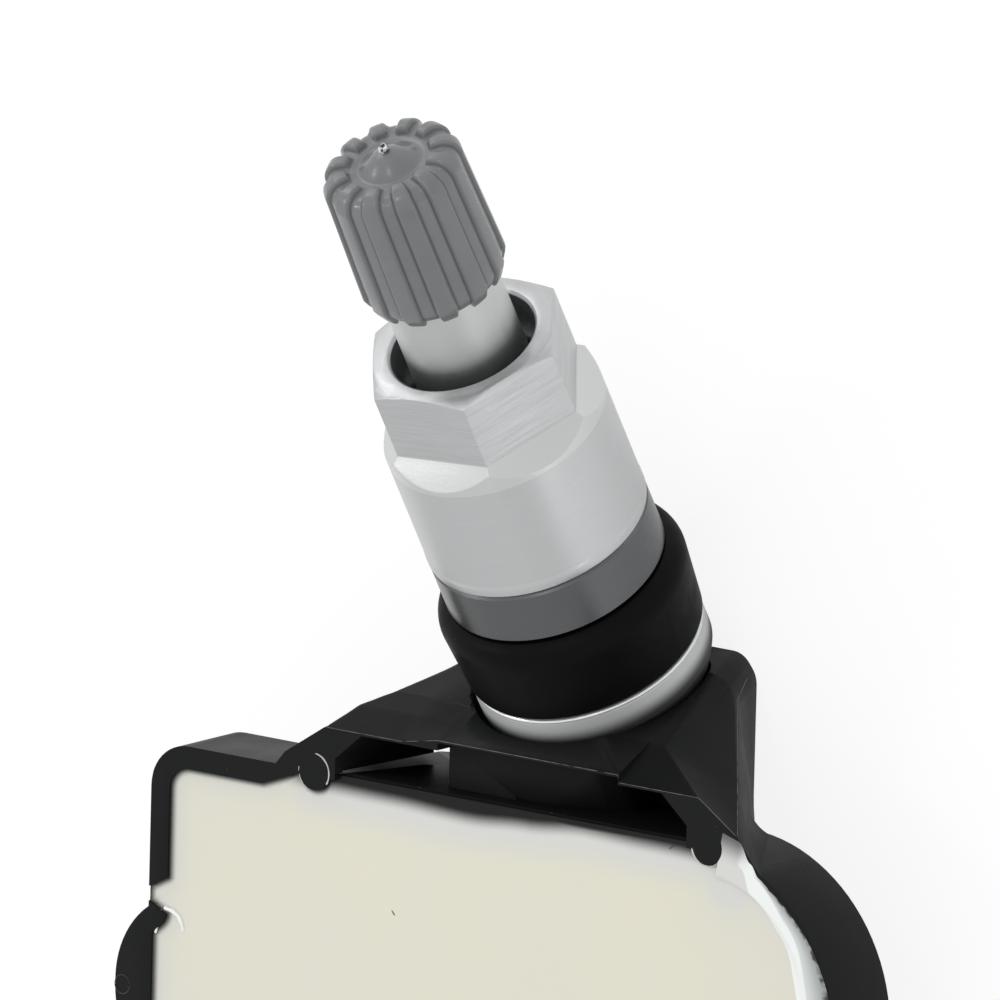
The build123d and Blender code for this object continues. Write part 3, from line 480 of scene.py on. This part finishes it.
finishes = {
    "housing": plastic, "potting": resin, "valve_stem": stemMetal, "collar_nut": nutMetal,
    "clamp_washer": washerMetal, "grommet": rubber, "valve_cap": capPlastic, "cap_seal": sealRubber,
    "core_seal": sealRubber, "port_gasket": sealRubber, "core_plug": brass, "core_barrel": brass,
    "core_pin": brass, "core_cup": brass, "core_spring": steel, "retaining_screw": plated,
    "circuit_board": boardMask, "battery_cell": plated, "battery_tab_top": plated,
    "battery_tab_bottom": plated, "sensor_chip": chipBlack, "coil_core": ferrite, "coil_winding": copper,
    "crystal": plated, "chip_capacitors": ceramic, "antenna_loop": copper,
}
for name, finish in finishes.items():
    nodes[name].data.materials.clear()
    nodes[name].data.materials.append(finish)
print("finishes on the solids")


# mesh helpers
weld = {"fine": 0.0005, "solid": 0.002}  # mm; points nearer than this become one
sameHeight = 0.01  # mm; heights nearer than this count as one


def makePiece(bm, name, finish, body, sharp):
    bmesh.ops.remove_doubles(bm, verts=bm.verts, dist=weld["fine"] * mm)
    bmesh.ops.recalc_face_normals(bm, faces=bm.faces)
    mesh = bpy.data.meshes.new(name)
    bm.to_mesh(mesh)
    bm.free()
    mesh.polygons.foreach_set("use_smooth", [True] * len(mesh.polygons))
    mesh.set_sharp_from_angle(angle=radians(sharp))
    mesh.materials.append(finish)
    piece = bpy.data.objects.new(name, mesh)
    bpy.context.scene.collection.objects.link(piece)
    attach(piece, body)
    return piece


def spinOutline(bm, outline, steps):
    made = [bm.verts.new((r * mm, 0, h * mm)) for r, h in outline]
    line = made + [bm.edges.new(pair) for pair in zip(made, made[1:])]
    bmesh.ops.spin(bm, geom=line, cent=(0, 0, 0), axis=(0, 0, 1), angle=2 * pi, steps=steps, use_merge=True)


def mapGrid(bm, columns, rows, place):
    made = bmesh.ops.create_grid(bm, x_segments=columns, y_segments=rows, size=0.5)["verts"]
    for vert in made:
        vert.co = Vector(place(vert.co.x + 0.5, vert.co.y + 0.5)) * mm
    return made


def smoothStep(value, low, high):
    share = min(max((value - low) / (high - low), 0.0), 1.0)
    return share * share * (3 - 2 * share)


def between(table, key):
    for (a, low), (b, high) in zip(table, table[1:]):
        if key <= b:
            return low + (high - low) * smoothStep(key, a, b)
    return table[-1][1]


def along(points, share):
    lengths = [(Vector(b) - Vector(a)).length for a, b in zip(points, points[1:])]
    left = share * sum(lengths)
    for a, b, length in zip(points, points[1:], lengths):
        if left <= length or b == points[-1]:
            return Vector(a).lerp(Vector(b), min(left / length, 1))
        left -= length


# soft-edged skins over the moulded housing and the machined nut; lengths in mm, fold and flat in degrees
edgeShape = {"housing": 0.14, "nut": 0.07, "steps": 3, "fold": 30, "flat": 0.6, "trayTop": -8.3,
             "lobeTop": (19.0, -6.9), "collarFoot": (10.2, 10.95), "collarR": 7.45}


def slimFoot(bm):  # the collar's foot keeps only a slight flare
    low, high = edgeShape["collarFoot"]
    for vert in bm.verts:
        own = valveFrame.inverted() @ vert.co / mm
        if low < own.z < high and own.xy.length > edgeShape["collarR"]:
            own.xy *= edgeShape["collarR"] / own.xy.length
            vert.co = valveFrame @ (own * mm)


def softSkin(node, name, finish, body, width, reach=1000.0):  # edges past reach stay sharp
    s = edgeShape
    bm = bmesh.new()
    bm.from_mesh(nodes[node].data)
    bmesh.ops.remove_doubles(bm, verts=bm.verts, dist=weld["solid"] * mm)
    bmesh.ops.dissolve_limit(bm, angle_limit=radians(s["flat"]), verts=bm.verts, edges=bm.edges)
    if node == "collar_nut":
        slimFoot(bm)
    lobeX, lobeY = metres(s["lobeTop"])
    crisp = []
    for edge in bm.edges:
        x, y = min(v.co.x for v in edge.verts), max(v.co.y for v in edge.verts)
        folded = len(edge.link_faces) == 2 and edge.calc_face_angle(0) > radians(s["fold"])
        if folded and (y < reach * mm or (x > lobeX and y < lobeY)):
            crisp.append(edge)
    bmesh.ops.bevel(bm, geom=crisp, offset=width * mm, offset_type="OFFSET", affect="EDGES",
                    segments=s["steps"], profile=0.5, material=-1, clamp_overlap=True)
    skin = makePiece(bm, name, finish, body, sharp=30)
    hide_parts(node)


softSkin("housing", "housingSkin", plastic, "sensor", edgeShape["housing"],
         edgeShape["trayTop"])
softSkin("collar_nut", "nutSkin", nutMetal, "nut", edgeShape["nut"])
print("housing and nut skins made")


# cap: one spun skin whose ribs are pushed out and rolled over the shoulder; heights along the valve
capShape = {"base": 30.41, "ring": 40.66, "ceiling": 39.16, "bore": 3.89, "topR": 4.66, "mouthR": 4.88,
            "ribs": 12, "firstRib": 44.3, "depth": 0.24, "rise": 0.46, "lobeEnd": 2.62, "shoulder": 1.0,
            "skirt": 1.1, "skirtR": 4.2, "lift": 0.38, "steps": 480, "sideRows": 6, "shoulderTurn": 9,
            "belly": 0.10, "sideGap": (0.42, 0.60), "topGap": (0.34, 0.80), "rollSpan": (0.3, 1.3),
            "hem": [("bore", 0.16, -0.02), ("skirtR", 0.0, 0.05), ("skirtR", 0.16, 0.22)],  # from, out, up
            "flank": [(-0.10, -0.12), (0.0, 0.15)], "crownR": (3.1, 2.92, 2.8, 2.71, 2.64, 2.55, 2.42),
            "dome": [(2.32, -0.03), (2.20, -0.06), (2.05, -0.03), (1.85, 0.08), (1.60, 0.26), (1.32, 0.48),
                     (1.04, 0.68), (0.76, 0.84), (0.48, 0.94), (0.22, 0.99), (0, 1.0)],
            "dishGap": 0.15, "boreGap": 0.02, "roof": 1.2, "topRun": 0.34, "footRun": (0.2, 1.3),
            "toothRun": (1.4, 0.3), "shadeWidth": 0.11, "shadeTop": 0.35,
            "shadeEnd": (0.1, 0.16, 0.8)}  # offset from the lobe's end, half width, share


def capOutline(bend):
    c = capShape
    mouth, skirt, low = c["base"] + c["lift"], c["base"] + c["skirt"], c["mouthR"] - c["depth"]
    high = c["topR"] - c["depth"]
    outline = [(0, c["ceiling"]), (c["bore"], c["ceiling"]), (c["bore"], mouth)]
    outline += [(c[side] + out, mouth + up) for side, out, up in c["hem"]]
    outline += [(low + out, skirt + up) for out, up in c["flank"]]
    foot = outline[-1][1]
    for k in range(1, c["sideRows"] + 1):
        share = k / c["sideRows"]
        outline.append((low + (high - low) * share, foot + (bend[1] - foot) * share))
    for turn in range(c["shoulderTurn"], 91, c["shoulderTurn"]):
        out, up = cos(radians(turn)), sin(radians(turn))
        outline.append((bend[0] + c["shoulder"] * out, bend[1] + c["shoulder"] * up))
    outline += [(r, c["ring"]) for r in c["crownR"]]
    return outline + [(r, c["ring"] + rise) for r, rise in c["dome"]]


def ribCrown(angle, top):
    c = capShape
    phase = (degrees(angle) + c["firstRib"]) * c["ribs"] / 360
    off = 2 * abs(phase - round(phase))
    side, crest = (1 - smoothStep(off, *c[gap]) for gap in ("sideGap", "topGap"))
    # dirt and painted shade along the line where a rib meets the groove's floor
    shadeAndDirt = max(0.0, 1 - abs(off - c["sideGap"][1]) / c["shadeWidth"])  # where a rib meets the groove's floor
    return side + (crest - side) * top - c["belly"] * off * off * side, shadeAndDirt


def makeCap():
    c = capShape
    base, ring = c["base"], c["ring"]
    bend = (c["topR"] - c["depth"] - c["shoulder"], ring - c["shoulder"])
    bm = bmesh.new()
    spinOutline(bm, capOutline(bend), c["steps"])
    grooveShade = bm.verts.layers.float.new("grooveShade")
    shadeAt, shadeHalf, shadeShare = c["shadeEnd"]
    top, foot = c["toothRun"]
    for vert in bm.verts:  # ribs and lobes
        r, h = hypot(vert.co.x, vert.co.y) / mm, vert.co.z / mm
        if r < c["lobeEnd"] - c["dishGap"] or (r < c["bore"] + c["boreGap"] and h < ring - c["roof"]):
            continue
        angle, onTop = atan2(vert.co.y, vert.co.x), h > ring - sameHeight
        roll = min(max(atan2(h - bend[1], r - bend[0]), 0), pi / 2) if h > bend[1] else 0
        over = roll / (pi / 2)
        crown, shadeAndDirt = ribCrown(angle, smoothStep(roll, *c["rollSpan"]))
        if onTop:
            ends = smoothStep(r, c["lobeEnd"], c["lobeEnd"] + c["topRun"])
            inner = max(0.0, 1 - abs(r - c["lobeEnd"] - shadeAt) / shadeHalf) * crown
        else:
            ends = smoothStep(h, base + c["footRun"][0], base + c["footRun"][1])
            inner = 0.0
        push = (c["depth"] + (c["rise"] - c["depth"]) * over) * crown * ends
        # dirt and painted shade in the grooves and round the lobes' inner ends, less over the shoulder
        vert[grooveShade] = max(ends * shadeAndDirt * (1 - c["shadeTop"] * over), shadeShare * inner)
        drop = -c["lift"] * crown * smoothStep(h, base + top, base + foot) if h < base + top else 0
        out = push * cos(roll)
        vert.co += Vector((out * cos(angle), out * sin(angle), push * sin(roll) + drop)) * mm
    bmesh.ops.transform(bm, matrix=valveFrame, verts=bm.verts)
    cap = makePiece(bm, "capSkin", capPlastic, "cap", sharp=60)
    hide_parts("valve_cap")


makeCap()
print("cap made")


def makeSpring():
    bm = bmesh.new()
    bm.from_mesh(nodes["core_spring"].data)
    spring = makePiece(bm, "coreCoil", steel, "sensor", sharp=60)
    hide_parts("core_spring")
    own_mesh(spring)


makeSpring()


# bright turned edge round the valve's flange, its pale half-matte colour a painted highlight
edgeRing = {"steps": 160, "outline": [(7.40, 0.004), (7.66, 0.012), (7.80, -0.02), (7.885, -0.09),
                                      (7.90, -0.17), (7.885, -0.24), (7.84, -0.27)]}


def makeEdgeRing():
    bm = bmesh.new()
    spinOutline(bm, edgeRing["outline"], edgeRing["steps"])
    bmesh.ops.transform(bm, matrix=valveFrame, verts=bm.verts)
    # painted highlight: pale and half matte, so the edge looks lit from every side
    edgeHighlight = makePlain("flangeEdgeHighlight", (0.80, 0.81, 0.81), (0.88, 0.89, 0.89), 0.25, 0.6)
    makePiece(bm, "flangeEdge", edgeHighlight, "sensor", sharp=60)


makeEdgeRing()


# torn moulding gate on the cap
gateShape = {"height": 41.72, "radius": 0.32, "tear": 0.5, "tearScale": 5200, "seed": 3.7,
             "above": 1.35, "below": 0.6}


def makeGate():
    s = gateShape
    bm = bmesh.new()
    bmesh.ops.create_icosphere(bm, subdivisions=3, radius=s["radius"] * mm)
    for vert in bm.verts:
        pull = noise.noise(vert.co * s["tearScale"] + Vector((s["seed"], 0, 0)))
        vert.co *= 1 + s["tear"] * pull
        vert.co.z *= s["above"] if vert.co.z > 0 else s["below"]
    bmesh.ops.translate(bm, verts=bm.verts, vec=(0, 0, s["height"] * mm))
    bmesh.ops.transform(bm, matrix=valveFrame, verts=bm.verts)
    torn = makePlain("tornGate", (0.02, 0.02, 0.02), (0.80, 0.80, 0.79), 0.35, grainScale=9000, bump=0.5,
                     cloudScale=3500, spread=(0.42, 0.58))
    makePiece(bm, "capGate", torn, "cap", sharp=25)


makeGate()
print("spring, flange edge and gate made")


# resin face: a fine sheet over the solid's top face, which climbs the walls and carries painted shade beside
# them
faceShape = {"cell": 0.26, "level": 15.2, "climb": 0.26, "reach": 0.35, "lift": 0.012, "tuck": 0.30,
             "trim": 1.6, "upright": 0.9, "spacing": 0.1, "leastSpots": 4, "touch": 0.02,
             "wallShade": 0.5, "fadeEnd": (16, 8), "leastFade": 0.05,
             "paleReach": 1.0, "paleCorner": (17.6, -8.4, 1.6), "cornerReach": 0.8,
             "damEdge": -6.45, "damHalf": 17.3, "damSide": (1.0, -0.5), "damFront": (-8.6, -6.9),
             "leftWall": -29.28, "notchFoot": -17.4,
             "damShift": [(-17.3, 0.0), (-10.0, -0.12), (-3.4, -0.38), (1.0, -0.1), (5.7, 0.3), (11.0, 0.15),
                          (17.3, 0.0)]}


def pottingTop():
    f = faceShape
    solid = bmesh.new()
    solid.from_mesh(nodes["potting"].data)
    bmesh.ops.remove_doubles(solid, verts=solid.verts, dist=weld["solid"] * mm)
    top = (f["level"] - sameHeight) * mm
    others = [x for x in solid.faces if x.normal.z < f["upright"] or x.calc_center_median().z < top]
    bmesh.ops.delete(solid, geom=others, context="FACES")
    spots = []
    for edge in [e for e in solid.edges if e.is_boundary]:
        steps = max(f["leastSpots"], int(edge.calc_length() / (f["spacing"] * mm)))
        spots += [edge.verts[0].co.lerp(edge.verts[1].co, k / steps) for k in range(steps)]
    near = kdtree.KDTree(len(spots))
    for k, spot in enumerate(spots):
        near.insert(spot, k)
    near.balance()
    inside = BVHTree.FromBMesh(solid)
    solid.free()
    return inside, near


def makeResinFace():
    f = faceShape
    inside, near = pottingTop()
    low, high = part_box("potting")
    size = (high - low) / 2 + Vector((f["tuck"], f["tuck"], 0)) * mm
    count = [int(2 * s / (f["cell"] * mm)) for s in size[:2]]
    bm = bmesh.new()
    bmesh.ops.create_grid(bm, x_segments=count[0], y_segments=count[1], size=1)
    bmesh.ops.scale(bm, verts=bm.verts, vec=(size.x, size.y, 1))
    centre = ((low.x + high.x) / 2, (low.y + high.y) / 2, f["level"] * mm)
    bmesh.ops.translate(bm, verts=bm.verts, vec=centre)
    fade, pale, shift = [bm.verts.layers.float.new(name) for name in ("wallShade", "wallPale", "damShift")]
    gone = []
    for vert in bm.verts:
        x, y = vert.co.x / mm, vert.co.y / mm
        if y > f["damEdge"] and abs(x) < f["damHalf"]:
            vert.co.y = f["damEdge"] * mm  # straight front edge on the dam
        if x < f["leftWall"] and y > f["notchFoot"]:
            vert.co.x = f["leftWall"] * mm  # stops at the pouring notch's mouth
        outside = inside.find_nearest(vert.co)[3]
        depth = near.find(vert.co)[2] / mm if outside < f["touch"] * mm else 0.0
        if outside > f["tuck"] * mm * f["trim"]:
            gone.append(vert)
        width = f["wallShade"] * smoothStep(x, *f["fadeEnd"])
        # painted shade beside the walls, where the climbing resin turns from the light
        vert[fade] = max(0.0, 1 - depth / width) if width > f["leastFade"] else 0.0
        corner = (vert.co.xy / mm - Vector(f["paleCorner"][:2])).length - f["paleCorner"][2]
        vert[pale] = max(exp(-depth / f["paleReach"]), exp(-max(0.0, corner) / f["cornerReach"]))
        vert[shift] = between(f["damShift"], x)
        beside = smoothStep(abs(x), *[f["damHalf"] + step for step in f["damSide"]])
        dam = beside * smoothStep(y, *f["damFront"])
        vert.co.z += (f["lift"] + f["climb"] * exp(-depth / f["reach"]) * (1 - dam)) * mm
    bmesh.ops.delete(bm, geom=gone, context="VERTS")
    makePiece(bm, "resinFace", resin, "sensor", sharp=60)


makeResinFace()
print("resin face made")


# resin lip that has run over the right lobe's rim, with a painted highlight on its band along the wall:
# radius by angle round the cell, in mm and degrees
lipShape = {"centre": (15.0, -18.0), "rim": 15.6, "level": 15.2, "wallR": 10.1, "wallGap": 0.03,
            "lift": 0.02, "paleReach": 1.0, "turn": (-40, 80), "post": (16.0, -6.5, 1.2),
            "columns": 240, "rows": 26,
            "inner": [(-40, 9.9), (-10, 8.7), (16, 8.55), (45, 9.28), (60, 9.6), (90, 9.3)],
            "band": [(-40, 9.9), (-10, 8.7), (16, 8.55), (45, 9.28), (62.7, 9.99), (71, 11.18), (80, 13.4),
                     (90, 13.4)],
            "split": [(-40, 0.36), (16, 0.36), (46, 0.61), (62, 0.85), (90, 0.95)],
            "outer": [(-40, 10.3), (-20, 11.3), (14, 11.5), (30, 11.42), (47, 11.27), (56, 11.25),
                      (62.8, 11.36), (67.7, 11.84), (74, 12.75), (90, 13.0)],
            "thinStep": 0.12, "stepShare": 0.4, "thinTurn": (68, 58), "shadeR": (10.9, 12.9),
            "shadeTurn": (66, 74), "highlightEdge": (-0.05, 0.12), "highlightTurn": (73.5, 70.5),
            "creamTurn": (66, 58)}


def makeLip():
    s = lipShape
    bm = bmesh.new()
    names = ("thinEdge", "lipShade", "lipHighlight", "lipCream")
    thin, shade, highlight, cream = [bm.verts.layers.float.new(name) for name in names]

    def place(u, v):
        turn = s["turn"][0] + (s["turn"][1] - s["turn"][0]) * u
        low, high = between(s["inner"], turn), between(s["outer"], turn)
        r = low + (high - low) * v
        spot = Vector((s["centre"][0] + r * cos(radians(turn)), s["centre"][1] + r * sin(radians(turn)), 0))
        away = spot.xy - Vector(s["post"][:2])
        if away.length < s["post"][2]:
            spot.xy = Vector(s["post"][:2]) + away.normalized() * s["post"][2]
        climb = smoothStep(r, low, s["wallR"] - s["wallGap"])
        spot.z = s["level"] + s["lift"] + (s["rim"] - s["level"]) * climb
        return spot

    step, share = s["thinStep"], s["stepShare"]
    for vert in mapGrid(bm, s["columns"], s["rows"], place):
        dx, dy = vert.co.x / mm - s["centre"][0], vert.co.y / mm - s["centre"][1]
        turn, r = degrees(atan2(dy, dx)), hypot(dx, dy)
        low, high, band = (between(s[edge], turn) for edge in ("inner", "outer", "band"))
        split = low + between(s["split"], turn) * (high - low)
        film = share * smoothStep(r, split, split + step) + (1 - share) * smoothStep(r, split, high)
        vert[thin] = film * smoothStep(turn, *s["thinTurn"])
        vert[shade] = smoothStep(r, *s["shadeR"]) * smoothStep(turn, *s["shadeTurn"])
        # painted highlight along the band on the wall
        past = smoothStep(r, *[band + edge for edge in s["highlightEdge"]])
        vert[highlight] = past * smoothStep(turn, *s["highlightTurn"])
        inward = 1 - exp(-max(0.0, s["wallR"] - r) / s["paleReach"])
        vert[cream] = inward * smoothStep(turn, *s["creamTurn"])
    makePiece(bm, "resinSpill", resinLip, "sensor", sharp=60)


makeLip()
print("resin lip made")


# the housing's own surface, for what lies on it
shell = bmesh.new()
shell.from_mesh(nodes["housing"].data)
shellTree = BVHTree.FromBMesh(shell)
shell.free()

# low ridge along the top of the yoke's left arm: a front facet below its crest, a longer slope behind
ridgeShape = {"ends": (-15.0, -4.6), "length": 8.0, "crest": 1.95, "rise": 0.58, "front": (-3.4, 15.6),
              "slope": (0.0, 0.84, 0.54), "sink": 0.015, "probe": 3.0, "slack": 0.9, "fade": (1.4, 4.0),
              "leftEdge": [(5.0, -10.1), (12.4, -15.9), (15.6, -18.4)], "cup": (-4.8, -9.0),
              "columns": 60, "rows": 48}


def sideAt(table, z):  # where a sloping edge stands at this height
    start, end = [pair for pair in zip(table, table[1:]) if z <= pair[1][0] + sameHeight][0]
    share = (z - start[0]) / (end[0] - start[0])
    return [a + (b - a) * share for a, b in zip(start[1:], end[1:])]


def makeRidge():
    s = ridgeShape
    up = Vector(s["slope"]).normalized()
    down = Vector((0, up.z, -up.y))
    left, right = s["ends"]

    def place(u, v):
        return Vector((left + (right - left) * u, *s["front"])) + down * s["length"] * v

    bm = bmesh.new()
    gone = []
    for vert in mapGrid(bm, s["columns"], s["rows"], place):
        x, z = vert.co.x / mm, vert.co.z / mm
        far = (s["front"][1] - z) / up.y
        hit = shellTree.ray_cast(vert.co + up * s["probe"] * mm, -up, 2 * s["probe"] * mm)
        if hit[0] is None or abs(hit[3] - s["probe"] * mm) > s["slack"] * mm:
            gone.append(vert)
            continue
        tent = far / s["crest"] if far < s["crest"] else (s["length"] - far) / (s["length"] - s["crest"])
        inside = x - sideAt(s["leftEdge"], z)[0]
        share = tent * smoothStep(inside, *s["fade"]) * smoothStep(x, *s["cup"])
        vert.co = hit[0] + up * (s["rise"] * share - s["sink"]) * mm
    bmesh.ops.delete(bm, geom=gone, context="VERTS")
    makePiece(bm, "yokeRidge", plastic, "sensor", sharp=7)


makeRidge()


# moulded web in the corner between the yoke's right side and the tray's wall or lobe: an arc per height
webShape = {"radius": 2.6, "levels": (8.0, 15.6), "chamferTop": 9.7, "lobe": (15.0, -18.0, 11.6),
            "sink": 0.25, "drop": 0.004, "hem": 0.01, "columns": 16, "rows": 44, "footY": -7.9,
            "foot": (7.75, 20.4),
            "side": [(5.0, 10.1, 0.56), (12.4, 15.9, -3.67), (15.6, 18.4, -5.5)]}


def webArc(z):
    s = webShape
    top = Vector(sideAt(s["side"], z))
    foot = Vector((s["foot"][0] + z / s["levels"][1] * (s["foot"][1] - s["foot"][0]), s["footY"]))
    side = (foot - top).normalized()
    facing = Vector((-side.y, side.x))
    lobe, lobeR = Vector(s["lobe"][:2]), s["lobe"][2] - max(0.0, s["chamferTop"] - z)
    reach = (s["radius"] - (lobe - top).dot(facing)) / (lobeR + s["radius"])
    turn = atan2(facing.y, facing.x) + acos(min(max(reach, -1), 1))
    if turn < pi / 2:  # onto the lobe
        end = Vector((-cos(turn), -sin(turn)))
        centre = lobe - end * (lobeR + s["radius"])
    else:  # onto the straight wall beside it
        end = Vector((0, -1))
        y = lobe.y + lobeR + s["radius"]
        centre = Vector((top.x + (s["radius"] - (y - top.y) * facing.y) / facing.x, y))
    return centre, -facing, end


def makeWeb():
    s = webShape
    bm = bmesh.new()

    def place(u, v):
        row = v * s["rows"]
        share = min(max((row - 1) / (s["rows"] - 2), 0), 1)
        z = s["levels"][0] + (s["levels"][1] - s["levels"][0]) * share
        centre, start, end = webArc(z)
        middle = (start + end).normalized()
        spot = centre + start.slerp(end, u).normalized() * s["radius"]
        if min(u, 1 - u) < s["hem"]:  # the sides tuck into the walls
            spot = spot + middle * s["sink"]
        if row < 0.5 or row > s["rows"] - 0.5:  # and so do the ends
            spot = centre + middle * (s["radius"] + s["sink"])
        return (spot.x, spot.y, z - s["drop"])

    mapGrid(bm, s["columns"], s["rows"], place)
    makePiece(bm, "cornerWeb", plastic, "sensor", sharp=50)


makeWeb()
print("yoke ridge and corner web made")


# thin film of resin drawn along the window's left end; its light and shade are painted in, by share of its
# length and darker at its lower edge
filmShape = {"upper": [(-14.63, -6.38, 15.30), (-11.36, -5.41, 13.60), (-8.12, -4.39, 12.60),
                       (-6.75, -4.30, 12.30)],
             "lower": [(-14.62, -6.51, 15.30), (-12.16, -6.06, 13.60), (-9.30, -5.42, 12.80),
                       (-6.75, -5.20, 12.30)],
             "tone": [(0.0, 1.0), (0.12, 0.55), (0.45, 0.10), (0.7, 0.12), (1.0, 0.45)], "lowEdgeLight": 0.55,
             "dark": (0.012, 0.012, 0.013, 1), "lit": (0.26, 0.26, 0.26, 1), "rough": 0.3,
             "columns": 60, "rows": 10}


def makeFilm():
    s = filmShape
    bm = bmesh.new()
    glow = bm.verts.layers.float.new("filmLight")

    def place(u, v):
        return along(s["lower"], u).lerp(along(s["upper"], u), v)

    for k, vert in enumerate(mapGrid(bm, s["columns"], s["rows"], place)):
        u, v = (k % s["columns"]) / (s["columns"] - 1), (k // s["columns"]) / (s["rows"] - 1)
        # painted light: brighter where light from behind catches the film, darker in between and at the
        # lower edge
        vert[glow] = between(s["tone"], u) * (s["lowEdgeLight"] + (1 - s["lowEdgeLight"]) * v)
    finish, tree, shader = newFinish("resinFilm", Roughness=s["rough"])
    colourOn(tree, shader, blendColour(tree, attribute(tree, "filmLight"), s["dark"], s["lit"]))
    makePiece(bm, "windowFilm", finish, "sensor", sharp=60)


makeFilm()


# thin beads that wax and wane; each line is (width, seed, level under which it is only a thread, points)
tubeShape = {"sides": 6, "step": 0.12, "leastSteps": 8, "ahead": 0.01, "lean": (0.31, 0.17, 0.93),
             "wave": 1.7, "ease": 0.25, "swell": 0.6, "thread": 0.02, "taper": 0.02, "gapTaper": 0.1}


def makeTubes(name, lines, finish, snap=None, flat=1.0):
    t = tubeShape
    bm = bmesh.new()
    for width, seed, gap, points in lines:
        total = sum((Vector(b) - Vector(a)).length for a, b in zip(points, points[1:]))

        def place(u, v):
            spot = along(points, u)
            ahead = along(points, min(u + t["ahead"], 1)) - along(points, max(u - t["ahead"], 0))
            if snap:
                spot = snap.find_nearest(spot * mm)[0] / mm
            ahead.normalize()
            across = ahead.cross(Vector(t["lean"])).normalized()
            rise = across.cross(ahead)
            level = noise.noise(Vector((u * total * t["wave"], seed, 0))) + 0.5
            body = smoothStep(level, gap, gap + t["ease"]) * (t["swell"] + t["swell"] * level) + t["thread"]
            ends = smoothStep(min(u, 1 - u), 0, t["taper"] + max(gap, 0) * t["gapTaper"])
            thick = width * body * ends
            return spot + across * thick * cos(2 * pi * v) + rise * thick * flat * sin(2 * pi * v)

        mapGrid(bm, max(t["leastSteps"], int(total / t["step"])), t["sides"], place)
    makePiece(bm, name, finish, "sensor", sharp=180)


def arcPoints(centre, radius, start, end, z, count=24):
    turns = [radians(start + (end - start) * k / count) for k in range(count + 1)]
    return [(centre[0] + radius * cos(turn), centre[1] + radius * sin(turn), z) for turn in turns]


# moulding flash on the yoke's edges, resin round the posts and at the notch, each pale as a painted
# highlight where it catches the light, and small marks
leftPost, rightPost, ejector = (-16, -6.5), (16, -6.5), (-31.3, -22.9)
markShape = {
    "flash": [(0.015, 1.3, -0.05, [(-15.2, -3.4, 15.6), (-8.9, -3.4, 15.6), (-6.0, -2.9, 15.6),
                                   (8.67, -2.9, 15.6), (8.67, -3.4, 15.6)]),
              (0.016, 4.1, -0.05, [(8.67, -3.4, 15.6), (15.2, -3.4, 15.6), (18.4, -5.5, 15.6)]),
              (0.015, 7.7, 0.05, [(18.4, -5.5, 15.6), (15.9, -3.67, 12.4), (10.1, 0.56, 5.0),
                                  (8.2, 1.4, 1.2)])],
    "posts": [(0.055, 2.2, 0.0, arcPoints(leftPost, 1.24, 88, -35, 15.6)),
              (0.05, 5.2, 0.1, arcPoints(leftPost, 1.24, 165, 225, 15.55)),
              (0.10, 3.4, -0.1, arcPoints(rightPost, 1.27, 185, 246, 15.52)),
              (0.04, 8.6, 0.1, arcPoints(rightPost, 1.24, 246, 330, 15.52))],
    "ejector": [(0.030, 6.4, -0.4, arcPoints(ejector, 0.62, 0, 359, 15.605))],
    "ripple": [(0.16, 9.1, -0.4, [(-28.2, -17.35, 15.42), (-27.5, -17.5, 15.35), (-27.04, -17.8, 15.30),
                                  (-26.75, -18.3, 15.27), (-26.68, -18.85, 15.22)]),
               (0.10, 2.8, -0.4, [(-28.3, -17.5, 15.50), (-28.45, -18.0, 15.50), (-28.8, -19.2, 15.47)])],
    "dashes": [(0.03, 1.1, -0.3, [(-9.68, -14.7, 15.22), (-9.42, -15.0, 15.22)]),
               (0.025, 1.9, -0.3, [(12.65, -7.2, 15.25), (13.1, -6.85, 15.3)])]}
# painted highlight: the flash fins are pale where they catch the light
flashHighlight = makePlain("flashHighlight", (0.10, 0.10, 0.10), (0.24, 0.24, 0.235), 0.45)
# painted highlight: resin beads drawn only where light catches them round the posts
resinGlint = makePlain("resinGlint", (0.34, 0.35, 0.35), (0.70, 0.71, 0.70), 0.3)
ringPlastic = makePlain("ringPlastic", (0.030, 0.030, 0.030), (0.045, 0.045, 0.045), 0.4)
# painted highlight on the resin ripples
rippleHighlight = makePlain("rippleHighlight", (0.84, 0.85, 0.84), (0.90, 0.91, 0.90), 0.25)
darkMark = makePlain("darkMark", (0.03, 0.03, 0.028), (0.06, 0.06, 0.055), 0.6)
makeTubes("yokeFlash", markShape["flash"], flashHighlight, shellTree)
makeTubes("postGlints", markShape["posts"], resinGlint)
makeTubes("ejectorRing", markShape["ejector"], ringPlastic)
makeTubes("resinRipple", markShape["ripple"], rippleHighlight, flat=0.6)
makeTubes("surfaceDashes", markShape["dashes"], darkMark)
print("film, flash lines and marks made")
